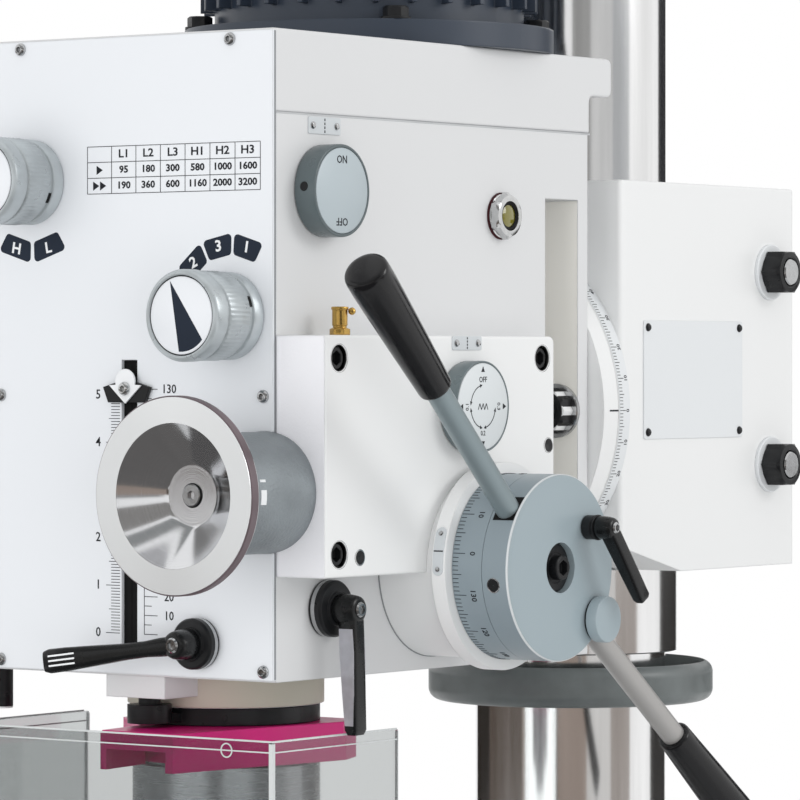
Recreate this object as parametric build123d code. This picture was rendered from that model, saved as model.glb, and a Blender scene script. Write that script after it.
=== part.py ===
import os
from math import acos, cos, pi, radians, sin, tan

from build123d import *

os.makedirs("parts", exist_ok=True)

# A cross table drill press: stand, base, cross table, column, lifting carrier and tilting gear head.
# Millimetres. +X is the machine's right side, -Y its front, +Z up.
# The origin lies on the floor, in the middle of the four anchor holes.

# Clearances
slide_gap = 0.1  # flat slideways
fit = 0.05  # radial clearance of a shaft in its bore
side_gap = 0.3  # between faces that turn against each other
mesh_play = 0.35  # tooth thinning of each gear and rack

# Main layout
column_d = 115.0
throat = 280.0  # spindle axis to the near side of the column
column_y = 190.0
spindle_y = column_y - throat - column_d / 2
column_back = column_y - spindle_y  # column axis behind the spindle axis

# Heights
stand_h = 600.0
base_h = 100.0
saddle_h = 62.0
table_h = 88.0
daylight = 360.0  # table top to the underside of the gear case
lift_stroke = 300.0
way_top = stand_h + base_h
slab_top = way_top + saddle_h
table_foot = slab_top + slide_gap
table_top = table_foot + table_h
underside_z = table_top + daylight

# Stand
stand_w = 460.0
stand_l = 640.0
sheet = 4.0
foot_t = 10.0
foot_w = 40.0
anchor_d = 14.0
top_t = 12.0
top_lip = 20.0
cabinet_round = 12.0
top_round = 18.0
door_w = 360.0
door_h = 430.0
door_sill = 90.0
door_gap = 3.0
door_fold = 20.0
door_sheet = 2.0
door_proud = 0.5
leaf_t = 2.5
leaf_w = 28.0
hinge_r = 7.0
hinge_pin_r = 3.0
hinge_l = 60.0
hinge_inset = 70.0  # hinge from the top and bottom of the door
handle_l = 130.0
handle_r = 6.0
handle_reach = 34.0
handle_inset = 40.0  # handle from the free edge of the door

# Base casting
base_w = 380.0
base_l = 640.0
base_flange_h = 28.0
base_taper = 9.0
base_wall = 32.0
base_round = 24.0
plinth_inset_x = 20.0
plinth_inset_y = 5.0
underside_d = 34.0  # hollow under the casting
way_w = 190.0
way_h = 24.0
way_angle = 60.0
way_inset = 5.0
channel_w = 56.0
channel_d = 46.0
pad_w = 250.0
pad_l = 232.0
pad_round = 26.0
pad_lap = 10.0  # ways running into the column pad
screw_d = 20.0
y_screw_drop = 26.0  # screw axis below the top of the ways
bracket_w = 100.0
bracket_t = 18.0
bracket_drop = 2.0
front_bore_l = 58.0  # screw bearing in bracket and casting

# Saddle and table
saddle_w = 260.0
saddle_l = 200.0
lip_drop = 22.0
saddle_round = 12.0
lock_bore_l = 22.0
x_way_w = 150.0
x_way_h = 22.0
x_channel_w = 44.0
nut_l = 50.0
nut_w = 40.0
table_w = 730.0
table_d = 210.0
slot_w = 14.0
slot_pitch = 63.0
slot_depth = 26.0
slot_head_w = 24.0
slot_head_h = 10.0
trough_w = 12.0
trough_d = 7.0
table_lip = 8.0
table_round = 10.0
end_bracket_round = 14.0
apron_h = 40.0
end_bracket_t = 28.0
end_bracket_w = 80.0
x_screw_rise = 2.0  # screw axis above the saddle slab
wheel_gap = 10.0
wheel_r = 62.0
wheel_rim_t = 16.0
wheel_hub_r = 20.0
wheel_hub_l = 26.0
wheel_spokes = 3
spoke_w = 16.0
wheel_handle_r = 10.0
wheel_handle_l = 70.0
y_shaft_l = 46.0  # from the front bracket to the wheel

# Column and lift
column_wall = 12.0
flange_r = 110.0
flange_t = 28.0
socket_r = 80.0
socket_h = 110.0
socket_floor = 8.0
socket_bevel = 6.0
socket_root_w = 14.0
socket_flare = 5.0
flange_bevel = 3.0
flange_holes = 4
flange_hole_d = 18.0
flange_pitch_r = 95.0
collar_r = 86.0
collar_top = -13.0  # below the gear case underside
collar_h = 24.0
ring_groove_r = 81.0
ring_groove_d = 8.0
cap_ring_h = 30.0
cap_dome_h = 10.0
rack_t = 20.0
rack_w = 26.0
rack_gap = 0.5
rack_module = 3.0
pinion_teeth = 12
pinion_w = 20.0
crank_reach = 110.0
crank_hub_r = 15.0
crank_hub_l = 20.0
crank_arm_t = 12.0
crank_grip_r = 13.0
crank_grip_l = 92.0

# Head carrier, measured from the spindle axis and the gear case underside
carrier_w = 200.0
carrier_front = 241.0
carrier_rear = 433.0
carrier_low = 44.0
carrier_high = 272.0
carrier_bevel = 16.0
carrier_bevel_l = 64.0
carrier_round = 3.0
skirt_r = 64.5
skirt_low = -7.0
split_w = 5.0
stud_r = 8.0
stud_y = 404.0
stud_low = 105.0
stud_high = 221.0
nut_af = 25.0
nut_h = 16.0
nut_washer_r = 17.5
nut_washer_t = 3.0
stud_sink = 2.0  # stud end inside the nut
stud_head_h = 12.0
lift_z = 163.0  # lift pinion axis

# Tilt joint between the gear case and the carrier
tilt_z = 139.0
tilt_r = 106.0
tilt_disc_t = 15.0
pivot_r = 20.0
pivot_l = 36.0
tslot_r = 82.0
tslot_neck = 15.0
tslot_head = 23.0
tslot_head_t = 10.0
tslot_depth = 10.0
tslot_arc = 54.0  # each side of the level
tilt_bolt_r = 7.0
tilt_bolt_end = 3.0
tilt_nut_af = 22.0
tilt_nut_t = 12.0

# Gear case
case_w = 192.0
case_front = 80.0
case_rear = 214.0
case_h = 297.0
case_wall = 14.0
case_round = 3.0
chamber_rear = 160.0
chamber_floor = 222.0
deck_t = 17.0
cover_h = 44.0
cover_t = 12.0
cover_lip = 23.0
cover_lip_t = 22.0
panel_t = 3.0
pocket_front = 169.0
pocket_low = 75.0
pocket_high = 259.0
pocket_inner = 44.0
tilt_wall = 12.0
boss_r = 53.5
boss_drop = 18.5
rib_w = 40.0
rib_front = 78.0
rib_drop = 12.0

# Quill, spindle and depth stop
quill_d = 85.0
quill_top = 204.0
quill_low = -51.0
nose_r = 50.0
nose_h = 44.0
spindle_bore_r = 27.0
quill_counterbore_r = 30.0
quill_module = 2.5
quill_rack_tip = 40.0  # rack tips behind the spindle axis
quill_rack_low = 34.0
feed_teeth = 18
feed_gear_w = 28.0
low_bearing_r = 40.0
low_bearing_t = 24.0
low_journal_r = 25.0
high_bearing_t = 20.0
high_journal_r = 18.0
high_bearing_z = 84.0
bearing_lip = 4.0
spindle_nose_r = 27.0
spindle_drop = 18.0
taper_r = 15.63
taper_end_r = 12.9
taper_l = 103.0
drift_w = 8.0
drift_l = 36.0
spline_r = 16.0
spline_core_r = 13.5
spline_keys = 6
spline_key_w = 6.0
spindle_high = 330.0
collar_ring_r = 51.5
collar_ring_low = -28.0
collar_ring_high = -19.0
depth_rod_r = 6.0
depth_rod_y = -66.0
depth_rod_top = 164.0
depth_knob_r = 12.0
depth_knob_h = 10.0
depth_slot_w = 10.7
depth_slot_low = 10.0
depth_slot_high = 168.0
pointer_z = 153.6
pointer_w = 32.0
pointer_foot_w = 25.0
pointer_drop = 8.2
pointer_crown = 3.0
pointer_t = 2.0
pointer_lift = 0.8
pointer_neck_h = 12.0

# Gear train
gear_module = 2.0
lay_y = 70.0
sleeve_teeth = 46
lay_small_teeth = 24
lay_large_teeth = 42
motor_teeth = 20
motor_y = lay_y + gear_module * (lay_large_teeth + motor_teeth) / 2
gear_w = 16.0
sleeve_gear_z = 227.0
lay_gear_z = 262.0
sleeve_skirt_r = 24.0
sleeve_skirt_low = 150.0
sleeve_journal_r = 30.0
sleeve_neck_r = 19.0
sleeve_top = 318.0
lay_r = 10.0
lay_body_r = 14.0
lay_top = 318.0
boss_wall = 9.0
boss_low = 302.0
motor_shaft_r = 12.0
motor_shaft_l = 60.0
motor_flange_r = 105.0
motor_flange_t = 14.0
motor_r = 88.0
motor_fin_r = 96.0
motor_fins = 28
motor_fin_t = 3.0
motor_body_h = 200.0
fan_cover_r = 97.0
fan_cover_h = 72.0
fan_cover_t = 3.0
fan_slots = 12
motor_hole_r = 40.0
terminal_w = 96.0
terminal_h = 90.0
terminal_reach = 62.0
terminal_z = 60.0

# Feed box and feed hub
box_t = 32.0
box_rear = 131.0
box_low = 55.0
box_high = 181.0
box_round = 4.0
box_bolt_inset = 12.0
box_bolt_r = 7.0
box_bolt_d = 8.0
hub_y = 60.0
hub_z = 57.0
housing_r = 50.0
housing_l = 39.0
index_r = 56.0
index_t = 9.0
spigot_r = 28.0
feed_journal_r = 15.0
feed_end_r = 12.0
ring_r = 50.0
ring_t = 19.0
ring_bore_r = 30.0
hub_r = 50.0
hub_t = 16.4
hub_cup_r = 13.5
hub_cup_d = 6.0
lever_r = 6.5
lever_angle = 139.5
lever_lean = 4.0
lever_start = 20.0
lever_l = 151.0
lever_slot_w = 16.0
lever_slot_d = 12.0
grip_start = 144.0
grip_end = 242.0
grip_r = 12.0
grip_neck_r = 9.5
spring_cap_r = 42.0
spring_cap_l = 26.0
spring_cap_t = 4.0
spring_strip = 1.2
spring_pitch = 4.5
spring_turns = 4
spring_margin = 6.0

# Hand controls of the head
wheel_x = 91.0
wheel_z = 99.0
boss_wheel_r = 31.5
boss_wheel_l = 32.0
boss_nose_r = 23.0
bell_rim = 84.0
bell_floor = 68.0
bell_r = 51.0
bell_rim_w = 7.0
bell_neck_r = 19.0
bell_shaft_r = 8.0
bell_shaft_in = 30.0
range_x = -68.0
range_z = 264.0
speed_x = 68.0
speed_z = 191.0
knob_base_r = 25.0
knob_base_h = 9.0
knob_r = 23.0
knob_h = 42.0
knob_round = 2.5
knob_flutes = 32
knob_flute_r = 1.6
stem_r = 5.0
stem_l = 12.0
switch_y = -41.0
switch_z = 257.0
switch_r = 23.25
switch_h = 14.0
dial_y = 45.0
dial_z = 143.0
dial_r = 23.5
dial_h = 13.0
glass_y = 123.0
glass_z = 247.0
glass_af = 26.0
glass_h = 7.0
glass_r = 9.0
cup_x = 112.0
cup_y = -46.0
cup_r = 6.0
cup_h = 15.0
clamp_hub_r = 13.5
clamp_hub_h = 20.0
clamp_arm = 78.0
clamp_arm_w = 13.0
clamp_arm_t = 9.0
clamp_rise = 12.0
quill_lock_y = -38.0
quill_lock_z = 37.0
quill_lock_arm = 58.0
quill_lock_lean = 6.0  # the hanging handle leans to the back
depth_lock_x = 48.0
depth_lock_z = 19.0
depth_lock_lean = 8.0  # the handle dips to the left
hub_lock_y = 26.0
hub_lock_z = 21.0
hub_lock_arm = 48.0
hub_lock_turn = -56.0
hub_lock_hub_r = 9.0
hub_lock_hub_h = 14.0
table_lock_x = 90.0
table_lock_drop = 26.0

# Left side controls
panel_box_t = 52.0
panel_box_front = 60.0
panel_box_l = 96.0
panel_box_low = 140.0
panel_box_h = 130.0
panel_box_round = 6.0
start_rise = 98.0
stop_rise = 42.0
start_r = 11.0
stop_r = 18.0
button_stem_r = 7.0
button_stem_l = 16.0
button_stroke = 4.0
guard_rod_r = 6.0
guard_rod_x = -118.0
guard_rod_y = -50.0
guard_rod_low = -24.0

# Chuck guard
shield_w = 218.0
shield_front = 100.0
shield_rear = 10.0
shield_top = -29.0
shield_h = 170.0
shield_t = 4.0
shield_round = 9.0
holder_t = 4.0
holder_high = -28.3
holder_low = -49.0
holder_front_left = -8.0
holder_front_right = 41.0
holder_right = 62.0
holder_right_y = 24.0
holder_rear = 44.0
holder_left = -56.0
holder_left_y = -20.0
holder_ring = 5.0
holder_notch_w = 40.0
holder_notch_h = 11.0

centred = (Align.CENTER, Align.CENTER, Align.MIN)
turn_to = {
    "Z": Rot(0, 0, 0),
    "-Z": Rot(180, 0, 0),
    "X": Rot(0, 90, 0),
    "-X": Rot(0, -90, 0),
    "Y": Rot(-90, 0, 0),
    "-Y": Rot(90, 0, 0),
}


# Shaping helpers
def block(x0, x1, y0, y1, z0, z1):
    return Pos(x0, y0, z0) * Box(x1 - x0, y1 - y0, z1 - z0, align=(Align.MIN,) * 3)


def rod(radius, length, at, axis="Z"):
    return Pos(*at) * turn_to[axis] * Cylinder(radius, length, align=centred)


def prism(points, axis, start, end):
    place = {
        "X": lambda a, b: (start, a, b),
        "Y": lambda a, b: (a, start, b),
        "Z": lambda a, b: (a, b, start),
    }[axis]
    way = {"X": (1, 0, 0), "Y": (0, 1, 0), "Z": (0, 0, 1)}[axis]
    outline = Polyline(*[place(a, b) for a, b in points], close=True)
    return extrude(make_face(outline), amount=end - start, dir=way)


def turned(points, at=(0, 0, 0), axis="Z"):
    face = make_face(Polyline(*[(r, 0, h) for r, h in points], close=True))
    return Pos(*at) * turn_to[axis] * revolve(face, Axis.Z)


def hexagon(across, length, at, axis="Z"):
    face = RegularPolygon(across / 2, 6, major_radius=False)
    return Pos(*at) * turn_to[axis] * extrude(face, amount=length)


def dovetail(width, height, gap=0.0):
    run = height / tan(radians(way_angle))
    return [
        (-width / 2 + run - gap, 0),
        (width / 2 - run + gap, 0),
        (width / 2 + gap, height + gap),
        (-width / 2 - gap, height + gap),
    ]


def shifted(points, up):
    return [(a, b + up) for a, b in points]


def involute(alpha):
    return tan(alpha) - alpha


def gear(teeth, module, width):
    pitch_r = teeth * module / 2
    base_r = pitch_r * cos(radians(20))
    half = (pi * module / 2 - mesh_play) / 2 / pitch_r
    pressure = involute(radians(20))

    def flank(radius):
        alpha = acos(min(1.0, base_r / max(radius, base_r)))
        return half + pressure - involute(alpha)

    radii = [pitch_r - 1.25 * module, pitch_r, pitch_r + module]
    points = []
    for tooth in range(teeth):
        middle = 2 * pi * tooth / teeth
        for radius in radii:
            angle = middle - flank(radius)
            points.append((radius * cos(angle), radius * sin(angle)))
        for radius in reversed(radii):
            angle = middle + flank(radius)
            points.append((radius * cos(angle), radius * sin(angle)))
    return prism(points, "Z", 0, width)


def rack_gap_profile(module, tip, low, index):
    pitch = pi * module
    centre = low + pitch * index
    top = pitch / 4 + mesh_play / 4 + module * tan(radians(20))
    foot = pitch / 4 + mesh_play / 4 - 1.25 * module * tan(radians(20))
    root = tip - 2.25 * module
    return [
        (tip + 0.5, centre - top),
        (root, centre - foot),
        (root, centre + foot),
        (tip + 0.5, centre + top),
    ]


def spline_bar(core_r, tip_r, key_w, length):
    bar = rod(core_r, length, (0, 0, 0))
    for spot in PolarLocations(0, spline_keys):
        bar += spot * block(0, tip_r, -key_w / 2, key_w / 2, 0, length)
    return bar


def clamp_lever(hub_radius, hub_height, reach, stem_depth):
    # Hub axis +Z, handle along +X, rising from the top of the hub
    lever = rod(hub_radius, hub_height * 0.45, (0, 0, 0))
    lever += rod(hub_radius * 0.78, hub_height * 0.55, (0, 0, hub_height * 0.45))
    lever += rod(stem_r, stem_depth, (0, 0, -stem_depth))
    wide = clamp_arm_w / 2
    plan = [(0, -wide), (reach * 0.35, -wide * 0.7), (reach, -wide), (reach, wide)]
    plan += [(reach * 0.35, wide * 0.7), (0, wide)]
    arm = prism(plan, "Z", 0, clamp_arm_t)
    arm = fillet(arm.edges().filter_by(Axis.Z).sort_by(Axis.X)[-2:], wide * 0.6)
    lever += Pos(0, 0, hub_height - clamp_arm_t) * Rot(0, -clamp_rise, 0) * arm
    lever += rod(clamp_arm_t, clamp_arm_t, (0, 0, hub_height - clamp_arm_t))
    return lever


def handwheel():
    # Axis +Z pointing at the operator, hub face at zero
    rim_in = wheel_r - wheel_rim_t
    wheel = turned([(rim_in, 4), (rim_in + 3, 0), (wheel_r - 4, 0), (wheel_r, 4),
                    (wheel_r, wheel_rim_t - 4), (wheel_r - 4, wheel_rim_t),
                    (rim_in + 3, wheel_rim_t), (rim_in, wheel_rim_t - 4)])
    wheel += rod(wheel_hub_r, wheel_hub_l, (0, 0, 0))
    for spot in PolarLocations(0, wheel_spokes, start_angle=30):
        wheel += spot * block(0, rim_in + 2, -spoke_w / 2, spoke_w / 2, 4, wheel_rim_t - 4)
    wheel -= rod(screw_d / 2 - 4, wheel_hub_l, (0, 0, 0))
    grip_at = wheel_r - wheel_rim_t / 2
    neck = wheel_handle_r * 0.55
    grip = turned([(0, 0), (neck, 0), (neck, 8), (wheel_handle_r * 0.8, 10),
                   (wheel_handle_r, wheel_handle_l * 0.65), (wheel_handle_r * 0.7, wheel_handle_l),
                   (0, wheel_handle_l)])
    return [wheel, Pos(0, grip_at, wheel_rim_t) * grip]


def save(name, shape):
    solids = shape if isinstance(shape, list) else [shape]
    pieces = [solid for item in solids for solid in item.solids()]
    export_step(pieces[0] if len(pieces) == 1 else Compound(pieces), f"parts/{name}.step")


def save_head(name, shape):
    pieces = shape if isinstance(shape, list) else [shape]
    save(name, [Pos(0, spindle_y, underside_z) * piece for piece in pieces])


# Stand cabinet with its doorway, floor flange, top plate and hinge knuckles
half_w = stand_w / 2
half_l = stand_l / 2
hinge_x = -door_w / 2 - 2
door_front = -half_l - door_proud
hinge_y = -half_l - hinge_r - 2 * door_proud
leaf_front = door_front - leaf_t
hinge_zs = [door_sill + hinge_inset, door_sill + door_h - hinge_inset - hinge_l]
cabinet = block(-half_w, half_w, -half_l, half_l, foot_t, stand_h - top_t)
cabinet = fillet(cabinet.edges().filter_by(Axis.Z), cabinet_round)
cabinet -= block(-half_w + sheet, half_w - sheet, -half_l + sheet, half_l - sheet, foot_t, stand_h)
floor_ring = block(-half_w - foot_w, half_w + foot_w, -half_l - foot_w, half_l + foot_w, 0, foot_t)
floor_ring = fillet(floor_ring.edges().filter_by(Axis.Z), foot_w / 2)
floor_ring -= block(-half_w + foot_w, half_w - foot_w, -half_l + foot_w, half_l - foot_w, 0, foot_t)
for spot in GridLocations(stand_w + foot_w, stand_l + foot_w, 2, 2):
    floor_ring -= spot * rod(anchor_d / 2, foot_t, (0, 0, 0))
top_plate = block(-half_w - top_lip, half_w + top_lip, -half_l - top_lip, half_l + top_lip,
                  stand_h - top_t, stand_h)
top_plate = fillet(top_plate.edges().filter_by(Axis.Z), top_round)
cabinet += floor_ring + top_plate
cabinet -= block(-door_w / 2, door_w / 2, -half_l, -half_l + sheet, door_sill, door_sill + door_h)
for z in hinge_zs:
    third = hinge_l / 3
    for low in (z, z + 2 * third):
        cabinet += rod(hinge_r, third - side_gap, (hinge_x, hinge_y, low + side_gap / 2))
        cabinet += block(hinge_x - leaf_w, hinge_x, leaf_front, -half_l, low + side_gap / 2,
                         low + third - side_gap / 2)
    cabinet += rod(hinge_pin_r, hinge_l, (hinge_x, hinge_y, z))
save("stand_cabinet", cabinet)

# Door: a folded sheet pan with knuckles at its left edge and a bar handle
door = block(-door_w / 2 + door_gap, door_w / 2 - door_gap, door_front, door_front + door_fold,
             door_sill + door_gap, door_sill + door_h - door_gap)
door -= block(-door_w / 2 + door_gap + door_sheet, door_w / 2 - door_gap - door_sheet,
              door_front + door_sheet, door_front + door_fold,
              door_sill + door_gap + door_sheet, door_sill + door_h - door_gap - door_sheet)
for z in hinge_zs:
    third = hinge_l / 3
    knuckle = rod(hinge_r, third - side_gap, (hinge_x, hinge_y, z + third + side_gap / 2))
    knuckle += block(hinge_x, hinge_x + leaf_w, leaf_front, door_front,
                     z + third + side_gap / 2, z + 2 * third - side_gap / 2)
    door += knuckle - rod(hinge_pin_r + fit, third, (hinge_x, hinge_y, z + third))
handle_x = door_w / 2 - handle_inset
handle_z = door_sill + door_h / 2 - handle_l / 2
for z in (handle_z, handle_z + handle_l):
    door += rod(handle_r - 1, handle_reach, (handle_x, door_front, z), "-Y")
door += rod(handle_r, handle_l + 4 * handle_r, (handle_x, door_front - handle_reach, handle_z - 2 * handle_r))
save("stand_door", door)

# Base casting with dovetail ways, screw channel, column pad and front screw bracket
shoulder_z = way_top - way_h
base_front = -base_l / 2
pad_front = column_y - pad_l / 2
screw_z = way_top - y_screw_drop
flange = block(-base_w / 2, base_w / 2, -base_l / 2, base_l / 2, stand_h, stand_h + base_flange_h)
flange = fillet(flange.edges().filter_by(Axis.Z), base_round)
plinth = Pos(0, 0, stand_h + base_flange_h) * Rectangle(
    base_w - 2 * plinth_inset_x, base_l - 2 * plinth_inset_y)
body = extrude(plinth, amount=shoulder_z - stand_h - base_flange_h, taper=base_taper)
base = flange + body
base += prism(shifted(dovetail(way_w, way_h), shoulder_z), "Y", base_front + way_inset, pad_front + pad_lap)
pad = block(-pad_w / 2, pad_w / 2, pad_front, column_y + pad_l / 2, stand_h + base_flange_h, way_top)
base += fillet(pad.edges().filter_by(Axis.Z), pad_round)
base -= block(-base_w / 2 + base_wall, base_w / 2 - base_wall, base_front + base_wall,
              -base_front - base_wall, stand_h, stand_h + underside_d)
base -= block(-channel_w / 2, channel_w / 2, base_front, pad_front, way_top - channel_d, way_top)
base += block(-bracket_w / 2, bracket_w / 2, base_front - bracket_t, base_front + way_inset,
              way_top - channel_d, way_top - bracket_drop)
base -= rod(screw_d / 2 + fit, front_bore_l, (0, base_front - bracket_t, screw_z), "Y")
save("base_casting", base)

# Cross slide screw with its handwheel
y_wheel_y = base_front - bracket_t - y_shaft_l
y_screw = rod(screw_d / 2, pad_front - 8 - base_front + bracket_t, (0, base_front - bracket_t, screw_z), "Y")
y_screw += rod(screw_d / 2 + 6, y_shaft_l - 4, (0, base_front - bracket_t - side_gap, screw_z), "-Y")
y_screw += rod(screw_d / 2 - 4, y_shaft_l + wheel_hub_l, (0, base_front - bracket_t, screw_z), "-Y")
save("y_leadscrew", y_screw)
save("y_handwheel", [Pos(0, y_wheel_y, screw_z) * turn_to["-Y"] * item for item in handwheel()])

# Saddle on the base ways, carrying the table ways
saddle_front = spindle_y - saddle_l / 2
saddle_rear = spindle_y + saddle_l / 2
saddle = block(-saddle_w / 2, saddle_w / 2, saddle_front, saddle_rear, way_top - lip_drop, slab_top)
saddle = fillet(saddle.edges().filter_by(Axis.Z), saddle_round)
saddle -= prism(shifted(dovetail(way_w, way_h, slide_gap), shoulder_z), "Y", saddle_front, saddle_rear)
x_ways = prism(shifted(dovetail(x_way_w, x_way_h), slab_top), "X", -saddle_w / 2, saddle_w / 2)
saddle += Pos(0, spindle_y, 0) * x_ways
saddle -= block(-saddle_w / 2, saddle_w / 2, spindle_y - x_channel_w / 2, spindle_y + x_channel_w / 2,
                slab_top - x_way_h, slab_top + x_way_h)
lock_z = slab_top - table_lock_drop
saddle -= rod(stem_r + fit, lock_bore_l, (table_lock_x, saddle_front, lock_z), "Y")
save("saddle", saddle)

x_screw_z = slab_top + x_screw_rise
x_nut = block(-nut_l / 2, nut_l / 2, spindle_y - nut_w / 2, spindle_y + nut_w / 2,
              slab_top - x_way_h, slab_top + x_way_h - 4)
x_nut -= rod(screw_d / 2 + fit, nut_l, (-nut_l / 2, spindle_y, x_screw_z), "X")
y_nut = block(-nut_w / 2, nut_w / 2, spindle_y - nut_l / 2, spindle_y + nut_l / 2,
              screw_z - screw_d / 2 - 6, way_top + slide_gap)
y_nut -= rod(screw_d / 2 + fit, nut_l, (0, spindle_y - nut_l / 2, screw_z), "Y")
save("feed_nuts", [x_nut, y_nut])

lock = clamp_lever(clamp_hub_r * 0.75, clamp_hub_h * 0.8, clamp_arm * 0.7, stem_l)
lock_plane = Plane((table_lock_x, saddle_front - side_gap, lock_z), x_dir=(1, 0, -0.25), z_dir=(0, -1, 0))
save("table_lock_lever", lock_plane.location * lock)

# Table with tee slots, coolant trough and the female dovetail
table = block(-table_w / 2, table_w / 2, spindle_y - table_d / 2, spindle_y + table_d / 2,
              table_foot, table_top)
table = fillet(table.edges().filter_by(Axis.Z), table_round)
groove = prism(shifted(dovetail(x_way_w, x_way_h, slide_gap), slab_top), "X", -table_w / 2, table_w / 2)
table -= Pos(0, spindle_y, 0) * groove
for index in (-1, 0, 1):
    y = spindle_y + index * slot_pitch
    table -= block(-table_w / 2, table_w / 2, y - slot_w / 2, y + slot_w / 2, table_top - slot_depth, table_top)
    table -= block(-table_w / 2, table_w / 2, y - slot_head_w / 2, y + slot_head_w / 2,
                   table_top - slot_depth, table_top - slot_depth + slot_head_h)
for side in (-1, 1):
    y = spindle_y + side * (table_d / 2 - table_lip - trough_w / 2)
    table -= block(-table_w / 2 + table_lip, table_w / 2 - table_lip, y - trough_w / 2, y + trough_w / 2,
                   table_top - trough_d, table_top)
    undercut = block(-table_w / 2, table_w / 2, -table_lip, table_lip, table_foot, table_foot + apron_h)
    table -= Pos(0, spindle_y + side * table_d / 2, 0) * undercut
save("table", table)

bracket_low = x_screw_z - end_bracket_w * 0.36
brackets = []
for side in (-1, 1):
    inner = table_w / 2
    plate = block(inner, inner + end_bracket_t, spindle_y - end_bracket_w / 2, spindle_y + end_bracket_w / 2,
                  bracket_low, x_screw_z + end_bracket_w / 2)
    plate = fillet(plate.edges().filter_by(Axis.X), end_bracket_round)
    plate -= rod(screw_d / 2 + fit, end_bracket_t, (inner, spindle_y, x_screw_z), "X")
    brackets.append(plate if side == 1 else mirror(plate, about=Plane.YZ))
save("table_end_brackets", brackets)

x_wheel_x = table_w / 2 + end_bracket_t + wheel_gap
half_screw = table_w / 2 + end_bracket_t
x_screw = rod(screw_d / 2, 2 * half_screw, (-half_screw, spindle_y, x_screw_z), "X")
for side, way in ((1, "X"), (-1, "-X")):
    start = (side * half_screw, spindle_y, x_screw_z)
    x_screw += rod(screw_d / 2 - 4, wheel_gap + wheel_hub_l, start, way)
    collar_start = (side * (half_screw + side_gap), spindle_y, x_screw_z)
    x_screw += rod(screw_d / 2 + 4, wheel_gap - 2 * side_gap, collar_start, way)
save("x_leadscrew", x_screw)
x_wheels = [Pos(x_wheel_x, spindle_y, x_screw_z) * turn_to["X"] * item for item in handwheel()]
x_wheels += [Pos(-x_wheel_x, spindle_y, x_screw_z) * turn_to["-X"] * item for item in handwheel()]
save("x_handwheels", x_wheels)

# Column, its flange, cap and support collar
column_r = column_d / 2
column_low = way_top + socket_floor
carrier_top_z = underside_z + carrier_high
ring_z = carrier_top_z + lift_stroke + 18
column_top = ring_z + cap_ring_h
collar_z = underside_z + collar_top
socket = turned([(column_r + fit, socket_floor), (column_r + fit, socket_h), (socket_r - socket_bevel, socket_h),
                 (socket_r, socket_h - socket_bevel), (socket_r + socket_flare, flange_t + socket_root_w),
                 (socket_r + socket_root_w, flange_t), (flange_r - flange_bevel, flange_t),
                 (flange_r, flange_t - flange_bevel), (flange_r, 0), (0, 0), (0, socket_floor)],
                (0, column_y, way_top))
for spot in PolarLocations(flange_pitch_r, flange_holes, start_angle=45):
    socket -= Pos(0, column_y, way_top) * spot * Cylinder(flange_hole_d / 2, flange_t, align=centred)
save("column_flange", socket)

tube = rod(column_r, column_top - column_low, (0, column_y, column_low))
tube -= rod(column_r - column_wall, column_top - column_low, (0, column_y, column_low))
save("column", tube)

cap = turned([(column_r + fit, -cap_ring_h), (collar_r, -cap_ring_h), (collar_r, -4), (collar_r - 4, 0),
              (column_r, 0), (column_r - 12, cap_dome_h), (0, cap_dome_h), (0, 0), (column_r + fit, 0)],
             (0, column_y, column_top))
cap -= turned([(column_r, -cap_ring_h), (ring_groove_r, -cap_ring_h),
               (ring_groove_r, -cap_ring_h + ring_groove_d), (column_r, -cap_ring_h + ring_groove_d)],
              (0, column_y, column_top))
save("column_cap", cap)

collar = turned([(column_r + fit, -collar_h), (collar_r, -collar_h), (collar_r, 0), (column_r + fit, 0)],
                (0, column_y, collar_z))
collar = fillet(collar.edges().filter_by(GeomType.CIRCLE).group_by(SortBy.RADIUS)[-1], 7)
collar -= turned([(column_r, -ring_groove_d), (ring_groove_r, -ring_groove_d), (ring_groove_r, 0),
                  (column_r, 0)], (0, column_y, collar_z))
save("support_collar", collar)

# Lift rack beside the column, toothed on its rear face
rack_low = collar_z - ring_groove_d + side_gap
rack_high = column_top - cap_ring_h + ring_groove_d - side_gap
rack_inner = column_r + rack_gap
rack = block(-rack_inner - rack_t, -rack_inner, -rack_w / 2, rack_w / 2, rack_low, rack_high)
rack_pitch = pi * rack_module
lift_axis_z = underside_z + lift_z
teeth_down = int((lift_axis_z - collar_z - 20) / rack_pitch)
teeth_up = int((rack_high - 20 - lift_axis_z) / rack_pitch)
for index in range(-teeth_down, teeth_up):
    gap = rack_gap_profile(rack_module, rack_w / 2, lift_axis_z + rack_pitch / 2, index)
    rack -= prism(gap, "X", -rack_inner - rack_t, -rack_inner)
save("lift_rack", Pos(0, column_y, 0) * rack)

# Lift pinion with its journal, and the crank
pinion_r = pinion_teeth * rack_module / 2
pinion_tip = pinion_r + rack_module
lift_y = column_y + rack_w / 2 - rack_module + pinion_r
journal_r = pinion_tip + 0.5
journal_in = rack_inner + rack_t + 1.5
journal_out = carrier_w / 2 + 12
crank_face = journal_out + side_gap
lift_gear = Rot(0, 0, 180 / pinion_teeth) * gear(pinion_teeth, rack_module, pinion_w)
pinion_at = (-rack_inner, lift_y, lift_axis_z)
pinion = Pos(*pinion_at) * turn_to["-X"] * lift_gear
pinion += rod(journal_r, journal_out - journal_in, (-journal_in, lift_y, lift_axis_z), "-X")
pinion += rod(pinion_r - 5, journal_in - rack_inner, pinion_at, "-X")
pinion += rod(crank_hub_r - 6, crank_hub_l + side_gap, (-journal_out, lift_y, lift_axis_z), "-X")
save("lift_pinion", pinion)

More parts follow.
